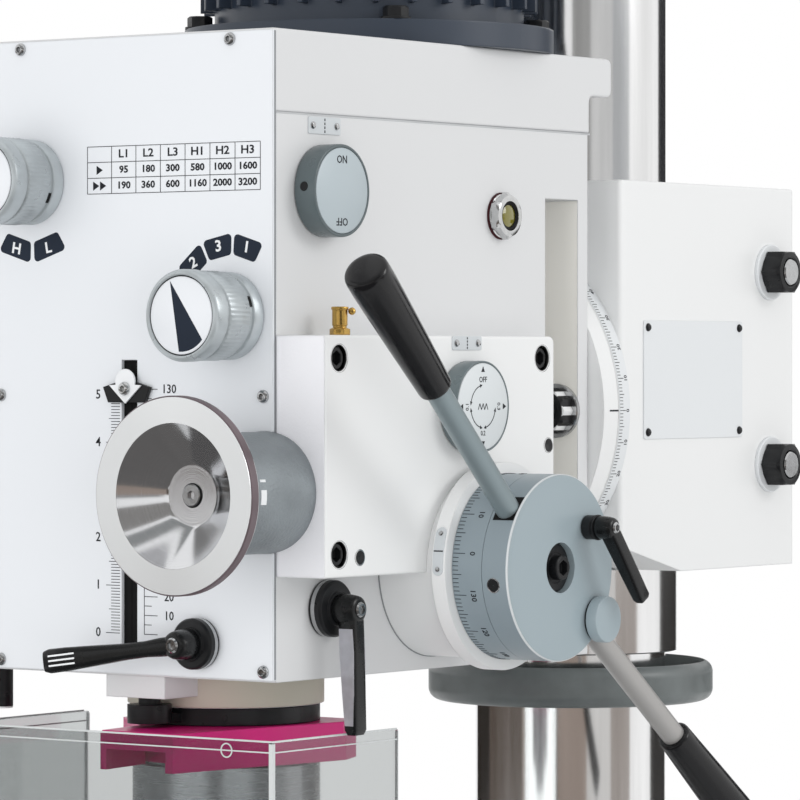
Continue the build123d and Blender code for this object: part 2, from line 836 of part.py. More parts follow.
crank_at = Pos(-crank_face, lift_y, lift_axis_z) * turn_to["-X"]
arm_low = (crank_hub_l - crank_arm_t) / 2
arm = prism([(-crank_hub_r * 0.7, 0), (crank_hub_r * 0.7, 0), (crank_hub_r * 0.55, -crank_reach),
             (-crank_hub_r * 0.55, -crank_reach)], "X", -crank_face - arm_low - crank_arm_t, -crank_face - arm_low)
crank = crank_at * rod(crank_hub_r, crank_hub_l, (0, 0, 0)) + Pos(0, lift_y, lift_axis_z) * arm
crank_end = (-crank_face - arm_low, lift_y, lift_axis_z - crank_reach)
crank += rod(crank_hub_r * 0.8, crank_arm_t, crank_end, "-X")
crank -= crank_at * rod(crank_hub_r - 6 + 0.02, crank_hub_l, (0, 0, 0))
grip_at = (-crank_face - arm_low - crank_arm_t, lift_y, lift_axis_z - crank_reach)
grip = turned([(0, 0), (crank_grip_r * 0.6, 0), (crank_grip_r * 0.8, 4), (crank_grip_r, crank_grip_l * 0.6),
               (crank_grip_r * 0.8, crank_grip_l - 4), (crank_grip_r * 0.5, crank_grip_l), (0, crank_grip_l)],
              grip_at, "-X")
save("lift_crank", [crank, grip])


# Ring-shaped cut around the tilt axis, which runs along Y
def tilt_ring(inner, outer, start, end):
    profile = [(inner, start), (outer, start), (outer, end), (inner, end)]
    return turned(profile, (0, 0, tilt_z), "Y")


# Head carrier: clamp casting on the column with the tilt disc on its front
half_carrier = carrier_w / 2
disc_rear = case_rear + tilt_disc_t
carrier = block(-half_carrier, half_carrier, carrier_front, carrier_rear, carrier_low, carrier_high)
bevel = [(carrier_front, carrier_low), (carrier_front + carrier_bevel_l, carrier_low),
         (carrier_front, carrier_low + carrier_bevel)]
carrier -= prism(bevel, "X", -half_carrier, half_carrier)
carrier = fillet(carrier.edges().filter_by(Axis.Z), carrier_round)
carrier = fillet(carrier.faces().sort_by(Axis.Z)[-1].edges(), carrier_round / 2)
carrier += rod(tilt_r, carrier_front - disc_rear - side_gap, (0, disc_rear + side_gap, tilt_z), "Y")
bore = rod(column_r + fit, carrier_high - carrier_low, (0, column_back, carrier_low))
carrier -= bore
carrier -= block(-rack_inner - rack_t - rack_gap, 0, column_back - rack_w / 2 - rack_gap,
                 column_back + rack_w / 2 + rack_gap, carrier_low, carrier_high)
carrier -= rod(journal_r + fit, half_carrier - rack_inner + 2, (-half_carrier, lift_y - spindle_y, lift_z), "X")
carrier -= block(-split_w / 2, split_w / 2, column_back, carrier_rear, carrier_low, carrier_high)
for z in (stud_low, stud_high):
    carrier -= rod(stud_r + 0.5, carrier_w, (-half_carrier, stud_y, z), "X")
neck_end = carrier_front + tslot_depth
tee = tilt_ring(tslot_r - tslot_neck / 2, tslot_r + tslot_neck / 2, disc_rear, neck_end)
tee += tilt_ring(tslot_r - tslot_head / 2, tslot_r + tslot_head / 2, neck_end, neck_end + tslot_head_t)
for side in (-1, 1):
    spread = tilt_r * tan(radians(tslot_arc))
    sector = [(0, tilt_z), (side * tilt_r, tilt_z - spread), (side * tilt_r, tilt_z + spread)]
    carrier -= tee & prism(sector, "Y", disc_rear, neck_end + tslot_head_t)
carrier -= rod(pivot_r + fit, pivot_l + 1, (0, disc_rear, tilt_z), "Y")
save_head("carrier", carrier)

skirt = rod(skirt_r, carrier_low - skirt_low, (0, column_back, skirt_low))
skirt -= rod(column_r + fit, carrier_low - skirt_low, (0, column_back, skirt_low))
skirt -= block(-skirt_r, -column_r / 2, column_back - rack_w / 2 - rack_gap,
               column_back + rack_w / 2 + rack_gap, skirt_low, carrier_low)
save_head("carrier_skirt", skirt)

studs = []
for z in (stud_low, stud_high):
    stud = rod(stud_r, carrier_w, (-half_carrier, stud_y, z), "X")
    stud += hexagon(nut_af, stud_head_h, (-half_carrier - stud_head_h, stud_y, z), "X")
    stud += rod(nut_washer_r, nut_washer_t, (half_carrier, stud_y, z), "X")
    stud += hexagon(nut_af, nut_h, (half_carrier + nut_washer_t, stud_y, z), "X")
    stud -= rod(stud_r, stud_sink, (half_carrier + nut_washer_t + nut_h, stud_y, z), "-X")
    studs.append(stud)
save_head("carrier_studs", studs)

# Tilt flange on the gear case, with its pivot and two tee bolts
tilt_flange = rod(tilt_r, tilt_disc_t, (0, case_rear, tilt_z), "Y")
tilt_flange += rod(pivot_r, pivot_l, (0, disc_rear, tilt_z), "Y")
bolt_spots = [(-tslot_r, tilt_z), (tslot_r, tilt_z)]
bolts = []
nut_y = case_rear - tilt_wall - tilt_nut_t
for x, z in bolt_spots:
    tilt_flange -= rod(tilt_bolt_r + fit, tilt_disc_t, (x, case_rear, z), "Y")
    bolt = rod(tilt_bolt_r, neck_end + 2 * tilt_bolt_end - nut_y, (x, nut_y - tilt_bolt_end, z), "Y")
    bolt += rod(tslot_head / 2 - 2 * side_gap, tslot_head_t - 4 * side_gap, (x, neck_end + 2 * side_gap, z), "Y")
    bolts.append(bolt + hexagon(tilt_nut_af, tilt_nut_t, (x, nut_y, z), "Y"))
save_head("tilt_flange", [tilt_flange] + bolts)

# Gear case: cast shell with gear chamber, quill housing, depth rod rib and tilt nut pockets
half_case = case_w / 2
deck_low = chamber_floor - deck_t
case = block(-half_case, half_case, -case_front, case_rear, 0, case_h)
case = fillet(case.edges().filter_by(Axis.Z).sort_by(Axis.Y)[-2:], case_round)
inner = half_case - case_wall
case -= block(-inner, inner, -case_front + case_wall, chamber_rear, chamber_floor, case_h)
quill_housing = rod(boss_r + 1.5, deck_low, (0, 0, 0))
quill_housing += block(-rib_w / 2, rib_w / 2, -case_front, 0, 0, deck_low)
case -= block(-inner, inner, -case_front + case_wall, chamber_rear, case_wall, deck_low) - quill_housing
case += rod(boss_r, boss_drop, (0, 0, -boss_drop))
case += block(-rib_w / 2, rib_w / 2, -rib_front, 0, -rib_drop, 0)
case -= rod(quill_d / 2 + fit, deck_low + boss_drop, (0, 0, -boss_drop))
case -= rod(sleeve_journal_r + fit, deck_t, (0, 0, deck_low))
case -= rod(lay_r + fit, deck_t, (0, lay_y, deck_low))
case -= rod(depth_rod_r + 0.5, depth_slot_high + 6 + rib_drop, (0, depth_rod_y, -rib_drop))
case -= block(-depth_slot_w / 2, depth_slot_w / 2, -case_front, depth_rod_y, depth_slot_low, depth_slot_high)
window = feed_teeth * quill_module / 2 + quill_module + 3
case -= block(-feed_gear_w / 2 - 2, feed_gear_w / 2 + 2, quill_d / 2 - 10, hub_y, hub_z - window, hub_z + window)
case -= rod(feed_journal_r + 1, 2 * inner, (-inner, hub_y, hub_z), "X")
case -= rod(spigot_r + fit, case_wall + 1, (half_case, hub_y, hub_z), "-X")
case -= rod(feed_end_r + fit, case_wall, (-half_case, hub_y, hub_z), "X")
for side in (-1, 1):
    pocket = block(pocket_inner, half_case, pocket_front, case_rear - tilt_wall, pocket_low, pocket_high)
    case -= pocket if side == 1 else mirror(pocket, about=Plane.YZ)
for x, z in bolt_spots:
    case -= rod(tilt_bolt_r + fit, tilt_wall, (x, case_rear - tilt_wall, z), "Y")
for x, z in ((range_x, range_z), (speed_x, speed_z), (depth_lock_x, depth_lock_z)):
    case -= rod(stem_r + fit, stem_l, (x, -case_front, z), "Y")
for y, z in ((switch_y, switch_z), (quill_lock_y, quill_lock_z)):
    case -= rod(stem_r + fit, stem_l, (half_case, y, z), "-X")
case -= rod(glass_r - 1, case_wall, (half_case, glass_y, glass_z), "-X")
case -= rod(bell_shaft_r + fit, bell_shaft_in, (wheel_x, -case_front, wheel_z), "Y")
save_head("gear_case", case)

# Cover with motor opening, shaft bosses and the rear lip
cover_top = case_h + cover_h
cover = block(-half_case, half_case, -case_front, case_rear, case_h, cover_top)
cover = fillet(cover.edges().filter_by(Axis.Z).sort_by(Axis.Y)[-2:], case_round)
lip = block(-half_case, half_case, 0, case_rear + cover_lip, cover_top - cover_lip_t, cover_top)
cover += fillet(lip.edges().filter_by(Axis.Z).sort_by(Axis.Y)[-2:], case_round)
cover -= block(-inner, inner, -case_front + case_wall, case_rear - case_wall, case_h, cover_top - cover_t)
for radius, y in ((sleeve_neck_r, 0), (lay_r, lay_y)):
    cover += rod(radius + boss_wall, cover_top - 1 - boss_low, (0, y, boss_low))
    cover -= rod(radius + fit, cover_top - cover_t - boss_low, (0, y, boss_low))
cover -= rod(spline_r + 2, cover_t - 3, (0, 0, cover_top - cover_t))
cover -= rod(motor_hole_r, cover_t, (0, motor_y, cover_top - cover_t))
save_head("gear_case_cover", cover)

# Front panel over case and cover
panel = block(-half_case, half_case, -case_front - panel_t, -case_front, 1, cover_top - 1)
panel -= block(-depth_slot_w / 2, depth_slot_w / 2, -case_front - panel_t, -case_front,
               depth_slot_low, depth_slot_high)
for x, z in ((range_x, range_z), (speed_x, speed_z), (depth_lock_x, depth_lock_z)):
    panel -= rod(stem_r + fit, panel_t, (x, -case_front, z), "-Y")
panel -= rod(boss_wheel_r + side_gap, panel_t, (wheel_x, -case_front, wheel_z), "-Y")
save_head("front_panel", panel)

# Drive sleeve, layshaft and motor shaft
deck_top = chamber_floor
sleeve = rod(sleeve_skirt_r, deck_low - sleeve_skirt_low, (0, 0, sleeve_skirt_low))
sleeve += rod(sleeve_journal_r, deck_t, (0, 0, deck_low))
sleeve += rod(sleeve_skirt_r, lay_gear_z - 4 - deck_top, (0, 0, deck_top))
sleeve += Pos(0, 0, sleeve_gear_z) * gear(sleeve_teeth, gear_module, gear_w)
sleeve += rod(sleeve_neck_r, sleeve_top - deck_top, (0, 0, deck_top))
sleeve -= Pos(0, 0, sleeve_skirt_low) * spline_bar(
    spline_core_r + fit, spline_r + fit, spline_key_w + 2 * fit, sleeve_top - sleeve_skirt_low)
save_head("drive_sleeve", sleeve)

# A gear mates another along +Y when a gap of one faces a tooth of the other
small = Rot(0, 0, -90) * gear(lay_small_teeth, gear_module, gear_w + 4)
large = Rot(0, 0, 90) * gear(lay_large_teeth, gear_module, gear_w)
lay = rod(lay_r, lay_top - deck_low - 2, (0, 0, deck_low + 2))
lay += rod(lay_body_r, boss_low - 2 - deck_top - 2, (0, 0, deck_top + 2))
lay += Pos(0, 0, sleeve_gear_z - 2) * small + Pos(0, 0, lay_gear_z) * large
save_head("layshaft", Pos(0, lay_y, 0) * lay)

driver = Rot(0, 0, -90 + 180 / motor_teeth) * gear(motor_teeth, gear_module, gear_w + 6)
motor_shaft = rod(motor_shaft_r, motor_shaft_l + cover_top - lay_gear_z + 3, (0, 0, lay_gear_z - 3))
motor_shaft += Pos(0, 0, lay_gear_z - 3) * driver
save_head("motor_shaft", Pos(0, motor_y, 0) * motor_shaft)

# Motor: finned housing, slotted fan cover and terminal box
housing = rod(motor_flange_r, motor_flange_t, (0, 0, 0))
housing += rod(motor_r, motor_body_h, (0, 0, motor_flange_t))
fin_low = motor_flange_t + 10
fin_high = motor_flange_t + motor_body_h - 10
for spot in PolarLocations(0, motor_fins):
    fin = block(motor_r - 2, motor_fin_r, -motor_fin_t / 2, motor_fin_t / 2, fin_low, fin_high)
    housing += spot * fin
housing -= rod(motor_shaft_r + fit, motor_shaft_l + 1, (0, 0, 0))
fan_low = motor_flange_t + motor_body_h
fan = turned([(motor_r + side_gap, 0), (fan_cover_r, 0), (fan_cover_r, fan_cover_h - 14),
              (fan_cover_r - 14, fan_cover_h), (0, fan_cover_h), (0, fan_cover_h - fan_cover_t),
              (fan_cover_r - 15, fan_cover_h - fan_cover_t), (fan_cover_r - fan_cover_t, fan_cover_h - 16),
              (fan_cover_r - fan_cover_t, 3), (motor_r + side_gap, 3)], (0, 0, fan_low - 6))
fan += turned([(0, 0), (motor_r, 0), (motor_r, 6), (0, 6)], (0, 0, fan_low))
fan += turned([(motor_r - 6, 2), (fan_cover_r - 1, 2), (fan_cover_r - 1, 6), (motor_r - 6, 6)], (0, 0, fan_low))
for spot in PolarLocations(0, fan_slots):
    fan -= spot * block(20, fan_cover_r - 22, -4, 4, fan_low + fan_cover_h - 12, fan_low + fan_cover_h)
terminal_out = motor_fin_r + terminal_reach
terminal = block(-terminal_out, -motor_fin_r - side_gap, -terminal_w / 2, terminal_w / 2,
                 terminal_z, terminal_z + terminal_h)
terminal = fillet(terminal.edges().filter_by(Axis.X), 8)
motor_place = Pos(0, motor_y, cover_top)
save_head("motor", [motor_place * piece for piece in (housing, fan, terminal)])

# Quill with its rack, nose and bearing seats
quill_r = quill_d / 2
nose_low = quill_low - nose_h
low_seat = nose_low + bearing_lip
quill = rod(quill_r, quill_top - quill_low, (0, 0, quill_low))
quill += fillet(rod(nose_r, nose_h, (0, 0, nose_low)).edges().group_by(Axis.Z)[0], 3)
quill -= rod(spindle_bore_r, quill_top - nose_low, (0, 0, nose_low))
quill -= rod(low_bearing_r, low_bearing_t + bearing_lip, (0, 0, nose_low))
quill -= rod(quill_counterbore_r, quill_top - high_bearing_z, (0, 0, high_bearing_z))
flat_half = 15.0
quill -= block(-flat_half, flat_half, quill_rack_tip, quill_r, quill_rack_low, quill_top)
quill_pitch = pi * quill_module
for index in range(int((quill_top - hub_z) / quill_pitch) + 1):
    gap = rack_gap_profile(quill_module, quill_rack_tip, hub_z, index)
    quill -= prism(gap, "X", -flat_half, flat_half)
for index in (-1, -2):
    gap = rack_gap_profile(quill_module, quill_rack_tip, hub_z, index)
    quill -= prism(gap, "X", -flat_half, flat_half)
save_head("quill", quill)


def bearing(inner_r, outer_r, width, low):
    middle = (inner_r + outer_r) / 2
    half_gap = (outer_r - inner_r) * 0.12
    ring = turned([(inner_r, 0), (outer_r, 0), (outer_r, width), (inner_r, width)], (0, 0, low))
    for start in (low, low + width - 2):
        profile = [(middle - half_gap, 0), (middle + half_gap, 0), (middle + half_gap, 2), (middle - half_gap, 2)]
        ring -= turned(profile, (0, 0, start))
    return ring


low_bearing = bearing(low_journal_r + fit, low_bearing_r - 0.02, low_bearing_t, low_seat)
high_bearing = bearing(high_journal_r + fit, quill_counterbore_r - 0.02, high_bearing_t, high_bearing_z)
save_head("spindle_bearings", [low_bearing, high_bearing])

# Spindle with Morse taper bore, drift slot and splined tail
spindle_low = nose_low - spindle_drop
shoulder = nose_low - side_gap
spindle = turned([(0, spindle_low), (spindle_nose_r - 2, spindle_low), (spindle_nose_r, spindle_low + 2),
                  (spindle_nose_r, shoulder), (low_journal_r, shoulder),
                  (low_journal_r, low_seat + low_bearing_t + 2), (high_journal_r + 3, low_seat + low_bearing_t + 6),
                  (high_journal_r + 3, high_bearing_z - side_gap), (high_journal_r, high_bearing_z - side_gap),
                  (high_journal_r, high_bearing_z + high_bearing_t + 6), (0, high_bearing_z + high_bearing_t + 6)])
spline_low = high_bearing_z + high_bearing_t + 6
spindle += Pos(0, 0, spline_low) * spline_bar(spline_core_r, spline_r, spline_key_w, spindle_high - spline_low)
spindle -= turned([(0, spindle_low), (taper_r, spindle_low), (taper_end_r, spindle_low + taper_l),
                   (0, spindle_low + taper_l)])
slot_mid = spindle_low + taper_l
spindle -= block(-drift_w / 2, drift_w / 2, -spindle_nose_r, spindle_nose_r,
                 slot_mid - drift_l / 2, slot_mid + drift_l / 2)
save_head("spindle", spindle)

# Quill collar with the depth rod lug, depth rod and pointer
lug = rod(depth_knob_r, depth_knob_h, (0, depth_rod_y, collar_ring_low + 2))
ring = rod(collar_ring_r, collar_ring_high - collar_ring_low, (0, 0, collar_ring_low))
ring += block(-depth_knob_r * 0.8, depth_knob_r * 0.8, depth_rod_y, 0, collar_ring_low + 2, collar_ring_high - 2)
ring += lug
ring -= rod(quill_r + 0.02, collar_ring_high - collar_ring_low, (0, 0, collar_ring_low))
ring -= rod(depth_rod_r + 0.02, depth_knob_h, (0, depth_rod_y, collar_ring_low + 2))
save_head("quill_collar", ring)

rod_low = collar_ring_low + 2
pointer_front = case_front + panel_t
depth = rod(depth_rod_r, depth_rod_top - rod_low, (0, depth_rod_y, rod_low))
plate_rear = -pointer_front - pointer_lift
neck_half = depth_slot_w / 2 - side_gap
depth += block(-neck_half, neck_half, plate_rear, depth_rod_y,
               pointer_z - pointer_neck_h / 2, pointer_z + pointer_neck_h / 2)
arrow = [(-pointer_w / 2, pointer_z), (-pointer_foot_w / 2, pointer_z - pointer_drop),
         (pointer_foot_w / 2, pointer_z - pointer_drop), (pointer_w / 2, pointer_z),
         (neck_half, pointer_z + pointer_crown), (-neck_half, pointer_z + pointer_crown)]
depth += prism(arrow, "Y", plate_rear - pointer_t, plate_rear)
save_head("depth_pointer", depth)

# Feed box with counterbored bolts
box_front = -case_front
box = block(half_case, half_case + box_t, box_front, box_rear, box_low, box_high)
box = fillet(box.edges().filter_by(Axis.X).sort_by(Axis.Y)[-2:], box_round)
box = fillet(box.faces().sort_by(Axis.X)[-1].edges(), 1.5)
box -= rod(housing_r, box_t, (half_case, hub_y, hub_z), "X")
for y in (box_front + box_bolt_inset, box_rear - box_bolt_inset):
    for z in (box_low + box_bolt_inset, box_high - box_bolt_inset):
        box -= rod(box_bolt_r, box_bolt_d, (half_case + box_t, y, z), "-X")
box -= rod(stem_r + fit, stem_l, (half_case + box_t, dial_y, dial_z), "-X")
box -= rod(bell_shaft_r + fit, bell_shaft_in, (wheel_x, box_front, wheel_z), "Y")
box -= rod(cup_r - 2, 8, (cup_x, cup_y, box_high), "-Z")
save_head("feed_box", box)

# Hub housing with the index flange, spigotted into the case
hub_at = (half_case, hub_y, hub_z)
house = rod(housing_r, housing_l, hub_at, "X")
house += rod(index_r, index_t, (half_case + housing_l, hub_y, hub_z), "X")
house += rod(spigot_r, case_wall, hub_at, "-X")
house -= rod(feed_journal_r + fit, housing_l + index_t + case_wall, (inner, hub_y, hub_z), "X")
save_head("hub_housing", house)

# Feed shaft with the quill pinion
ring_x = half_case + housing_l + index_t + side_gap
hub_x = ring_x + ring_t + side_gap
hub_face = hub_x + hub_t
feed_gear = gear(feed_teeth, quill_module, feed_gear_w)
feed_shaft = turn_to["X"] * Rot(0, 0, -90) * feed_gear
feed_shaft = Pos(-feed_gear_w / 2, hub_y, hub_z) * feed_shaft
feed_shaft += rod(feed_journal_r, ring_x - feed_gear_w / 2, (feed_gear_w / 2, hub_y, hub_z), "X")
feed_shaft += rod(feed_end_r, hub_face - hub_cup_d - ring_x, (ring_x, hub_y, hub_z), "X")
left_end = half_case + spring_cap_l - spring_cap_t - 4
feed_shaft += rod(feed_end_r, left_end - feed_gear_w / 2, (-feed_gear_w / 2, hub_y, hub_z), "-X")
save_head("feed_shaft", feed_shaft)

depth_ring = rod(ring_r, ring_t, (ring_x, hub_y, hub_z), "X")
depth_ring -= rod(ring_bore_r + fit, ring_t, (ring_x, hub_y, hub_z), "X")
save_head("feed_ring", depth_ring)


# Place on the hub rim along one lever, leaning outwards
def lever_place(angle):
    lean = radians(lever_lean)
    way = (sin(lean), cos(lean) * cos(radians(angle)), cos(lean) * sin(radians(angle)))
    middle = hub_x + hub_t / 2
    start = (middle - hub_r * tan(lean), hub_y, hub_z)
    return Plane(start, z_dir=way).location


lever_angles = (lever_angle, lever_angle + 180)
hub = rod(hub_r, hub_t, (hub_x, hub_y, hub_z), "X")
hub = fillet(hub.edges().group_by(Axis.X)[-1], 2)
hub += rod(ring_bore_r, hub_x - ring_x, (ring_x, hub_y, hub_z), "X")
hub -= rod(feed_end_r + 0.02, hub_face - ring_x, (ring_x, hub_y, hub_z), "X")
hub -= rod(hub_cup_r, hub_cup_d, (hub_face, hub_y, hub_z), "-X")
hub -= rod(stem_r + fit, stem_l - 2, (hub_face, hub_y + hub_lock_y, hub_z + hub_lock_z), "-X")
levers = []
grips = []
for angle in lever_angles:
    place = lever_place(angle)
    hub -= place * rod(lever_r + 0.02, lever_l, (0, 0, lever_start))
    hub -= place * rod(lever_slot_w / 2, lever_slot_d + 2, (0, 0, hub_r - lever_slot_d))
    levers.append(place * rod(lever_r, lever_l - lever_start, (0, 0, lever_start)))
    grip = turned([(lever_r + 0.02, grip_start), (grip_neck_r, grip_start), (grip_neck_r + 1, grip_start + 6),
                   (grip_r, grip_end - 24), (grip_r, grip_end - 8), (grip_r - 4, grip_end), (0, grip_end),
                   (0, lever_l + 0.5), (lever_r + 0.02, lever_l + 0.5)])
    grips.append(place * grip)
save_head("feed_hub", hub)
save_head("feed_levers", levers)
save_head("lever_grips", grips)

hub_lock = clamp_lever(hub_lock_hub_r, hub_lock_hub_h, hub_lock_arm, stem_l - 4)
hub_lock_way = (0, cos(radians(hub_lock_turn)), sin(radians(hub_lock_turn)))
hub_lock_at = (hub_face + side_gap, hub_y + hub_lock_y, hub_z + hub_lock_z)
save_head("hub_clamp_lever", Plane(hub_lock_at, x_dir=hub_lock_way, z_dir=(1, 0, 0)).location * hub_lock)

# Return spring and its cap on the left side
spring_cap = rod(spring_cap_r, spring_cap_l, (-half_case, hub_y, hub_z), "-X")
spring_cap = fillet(spring_cap.edges().group_by(Axis.X)[0], 4)
spring_cap -= rod(spring_cap_r - spring_cap_t, spring_cap_l - spring_cap_t, (-half_case, hub_y, hub_z), "-X")
save_head("spring_cap", spring_cap)

spring_edges = []
radius = feed_end_r + spring_pitch
for half_turn in range(2 * spring_turns):
    side = 1 if half_turn % 2 == 0 else -1
    centre = 0 if half_turn % 2 == 0 else spring_pitch / 2
    arc_r = radius + half_turn * spring_pitch / 2
    band = Pos(centre, 0) * (Circle(arc_r + spring_strip / 2) - Circle(arc_r - spring_strip / 2))
    keep = Pos(0, side * spring_cap_r) * Rectangle(4 * spring_cap_r, 2 * spring_cap_r)
    spring_edges.append(extrude(band & keep, amount=spring_cap_l - spring_cap_t - spring_margin))
spring = spring_edges[0]
for piece in spring_edges[1:]:
    spring += piece
save_head("return_spring", Pos(-half_case - side_gap, hub_y, hub_z) * turn_to["-X"] * spring)

# Handwheel boss and bell-shaped fine feed wheel
wheel_at = (wheel_x, -case_front, wheel_z)
boss = turned([(bell_shaft_r + fit, 0), (boss_wheel_r, 0), (boss_wheel_r, boss_wheel_l - 9),
               (boss_wheel_r - 2, boss_wheel_l - 7), (boss_nose_r, boss_wheel_l),
               (bell_shaft_r + fit, boss_wheel_l)], wheel_at, "-Y")
save_head("wheel_boss", boss)

hub_start = boss_wheel_l + side_gap
outer_curve = Spline((bell_neck_r, 0, hub_start), (bell_neck_r + 7, 0, hub_start + 22), (bell_r, 0, bell_rim - 4))
bowl = Polyline((bell_r, 0, bell_rim - 4), (bell_r, 0, bell_rim - 1), (bell_r - 1, 0, bell_rim),
                (bell_r - bell_rim_w, 0, bell_rim), (bell_r - bell_rim_w - 2, 0, bell_rim - 1.5),
                (14, 0, bell_floor), (0, 0, bell_floor), (0, 0, -bell_shaft_in + 1),
                (bell_shaft_r, 0, -bell_shaft_in + 1), (bell_shaft_r, 0, hub_start), (bell_neck_r, 0, hub_start))
bell = revolve(make_face(outer_curve + bowl), Axis.Z)
save_head("fine_feed_wheel", Pos(*wheel_at) * turn_to["-Y"] * bell)


# Fluted control knob, axis +Z out of the panel
def knob():
    shape = rod(knob_base_r, knob_base_h, (0, 0, side_gap))
    grip = rod(knob_r, knob_h - knob_base_h, (0, 0, knob_base_h))
    grip = fillet(grip.edges().group_by(Axis.Z)[-1], knob_round)
    for spot in PolarLocations(knob_r, knob_flutes):
        grip -= spot * rod(knob_flute_r, knob_h - knob_base_h - 14, (0.8, 0, knob_base_h + 3))
    shape += grip
    return shape + rod(stem_r, stem_l + panel_t - 1, (0, 0, -stem_l - panel_t + 1 + side_gap))


for name, x, z in (("range_knob", range_x, range_z), ("speed_knob", speed_x, speed_z)):
    save_head(name, Pos(x, -case_front - panel_t, z) * turn_to["-Y"] * knob())


# Plain round knob on the right side, axis +X
def side_knob(radius, height, at):
    shape = fillet(rod(radius, height, (0, 0, side_gap)).edges().group_by(Axis.Z)[-1], 2)
    shape += rod(stem_r, stem_l, (0, 0, -stem_l + 1))
    return Pos(*at) * turn_to["X"] * shape


save_head("feed_switch", side_knob(switch_r, switch_h, (half_case, switch_y, switch_z)))
save_head("feed_dial", side_knob(dial_r, dial_h, (half_case + box_t, dial_y, dial_z)))

# Oil sight glass and oil cup
glass = hexagon(glass_af, glass_h, (0, 0, 0)) - rod(glass_r, 3, (0, 0, glass_h - 3))
glass += rod(glass_r - 1 - fit, case_wall - 2, (0, 0, -case_wall + 2))
save_head("sight_glass", Pos(half_case, glass_y, glass_z) * turn_to["X"] * glass)
cup = turned([(0, -6), (cup_r - 2 - fit, -6), (cup_r - 2 - fit, 0), (cup_r, 0), (cup_r, 4), (cup_r - 1.5, 5),
              (cup_r - 1.5, cup_h - 6), (cup_r, cup_h - 5), (cup_r, cup_h - 1), (cup_r - 1, cup_h), (0, cup_h)],
             (cup_x, cup_y, box_high))
save_head("oil_cup", cup)

# Clamp levers of the quill and of the depth stop
lever = clamp_lever(clamp_hub_r, clamp_hub_h, quill_lock_arm, stem_l - 1)
lean = radians(quill_lock_lean)
side_plane = Plane((half_case + side_gap, quill_lock_y, quill_lock_z),
                   x_dir=(0, sin(lean), -cos(lean)), z_dir=(1, 0, 0))
save_head("quill_lock_lever", side_plane.location * lever)
lever = clamp_lever(clamp_hub_r, clamp_hub_h, clamp_arm, stem_l - 1 + panel_t)
lean = radians(depth_lock_lean)
front_plane = Plane((depth_lock_x, -case_front - panel_t - side_gap, depth_lock_z),
                    x_dir=(-cos(lean), 0, -sin(lean)), z_dir=(0, -1, 0))
save_head("depth_lock_lever", front_plane.location * lever)

# Control box on the left side, with the guard switch rod under it
box_left = -half_case - panel_box_t
control = block(box_left, -half_case, -panel_box_front, -panel_box_front + panel_box_l,
                panel_box_low, panel_box_low + panel_box_h)
control = fillet(control.edges().filter_by(Axis.Y).sort_by(Axis.X)[:2], panel_box_round)
button_x = -half_case - panel_box_t / 2
start_z = panel_box_low + start_rise
stop_z = panel_box_low + stop_rise
for z in (start_z, stop_z):
    control -= rod(button_stem_r + fit, button_stem_l + button_stroke, (button_x, -panel_box_front, z), "Y")
control += rod(guard_rod_r, panel_box_low - guard_rod_low, (guard_rod_x, guard_rod_y, guard_rod_low))
save_head("control_box", control)


# Push button with its stem, axis +Z towards the operator
def button(radius, cap_h):
    stand_off = button_stroke + side_gap
    shape = rod(button_stem_r, button_stem_l + stand_off, (0, 0, -button_stem_l))
    cap_shape = fillet(rod(radius, cap_h, (0, 0, stand_off)).edges().group_by(Axis.Z)[-1], cap_h * 0.35)
    return shape + cap_shape


for name, z, radius, height in (("start_button", start_z, start_r, 6), ("stop_button", stop_z, stop_r, 12)):
    save_head(name, Pos(button_x, -panel_box_front, z) * turn_to["-Y"] * button(radius, height))

# Guard holder: a walled tray around the quill, and the clear shield that it carries
outline = [(holder_front_left, -shield_front + shield_t), (holder_front_right, -shield_front + shield_t),
           (holder_right, holder_right_y), (holder_right - 8, holder_rear), (holder_left, holder_rear),
           (holder_left, holder_left_y), (holder_front_left - 4, -shield_front + 40)]
tray_face = make_face(Polyline(*[(x, y, 0) for x, y in outline], close=True))
tray = Pos(0, 0, holder_low) * extrude(tray_face, amount=holder_high - holder_low)
hollow = Pos(0, 0, holder_low) * extrude(
    offset(tray_face, -holder_t, kind=Kind.INTERSECTION), amount=holder_high - holder_low - holder_t)
tray -= hollow
sleeve_ring = rod(quill_r + side_gap + holder_ring, holder_high - holder_low, (0, 0, holder_low))
tray += sleeve_ring
tray -= rod(quill_r + side_gap, holder_high - holder_low, (0, 0, holder_low))
notch_left = holder_front_left + holder_t
tray -= block(notch_left, notch_left + holder_notch_w, -shield_front, -shield_front + 2 * holder_t + shield_t,
              holder_low, holder_low + holder_notch_h)
save_head("guard_holder", tray)

shield = block(-shield_w / 2, shield_w / 2, -shield_front, shield_rear, shield_top - shield_h, shield_top)
shield = fillet(shield.edges().filter_by(Axis.X).sort_by(Axis.Y)[-2:], shield_round)
shield -= block(-shield_w / 2 + shield_t, shield_w / 2 - shield_t, -shield_front + shield_t, shield_rear,
                shield_top - shield_h, shield_top)
save_head("guard_shield", shield)
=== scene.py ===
import math

import bmesh
import bpy
from mathutils import Matrix, Vector


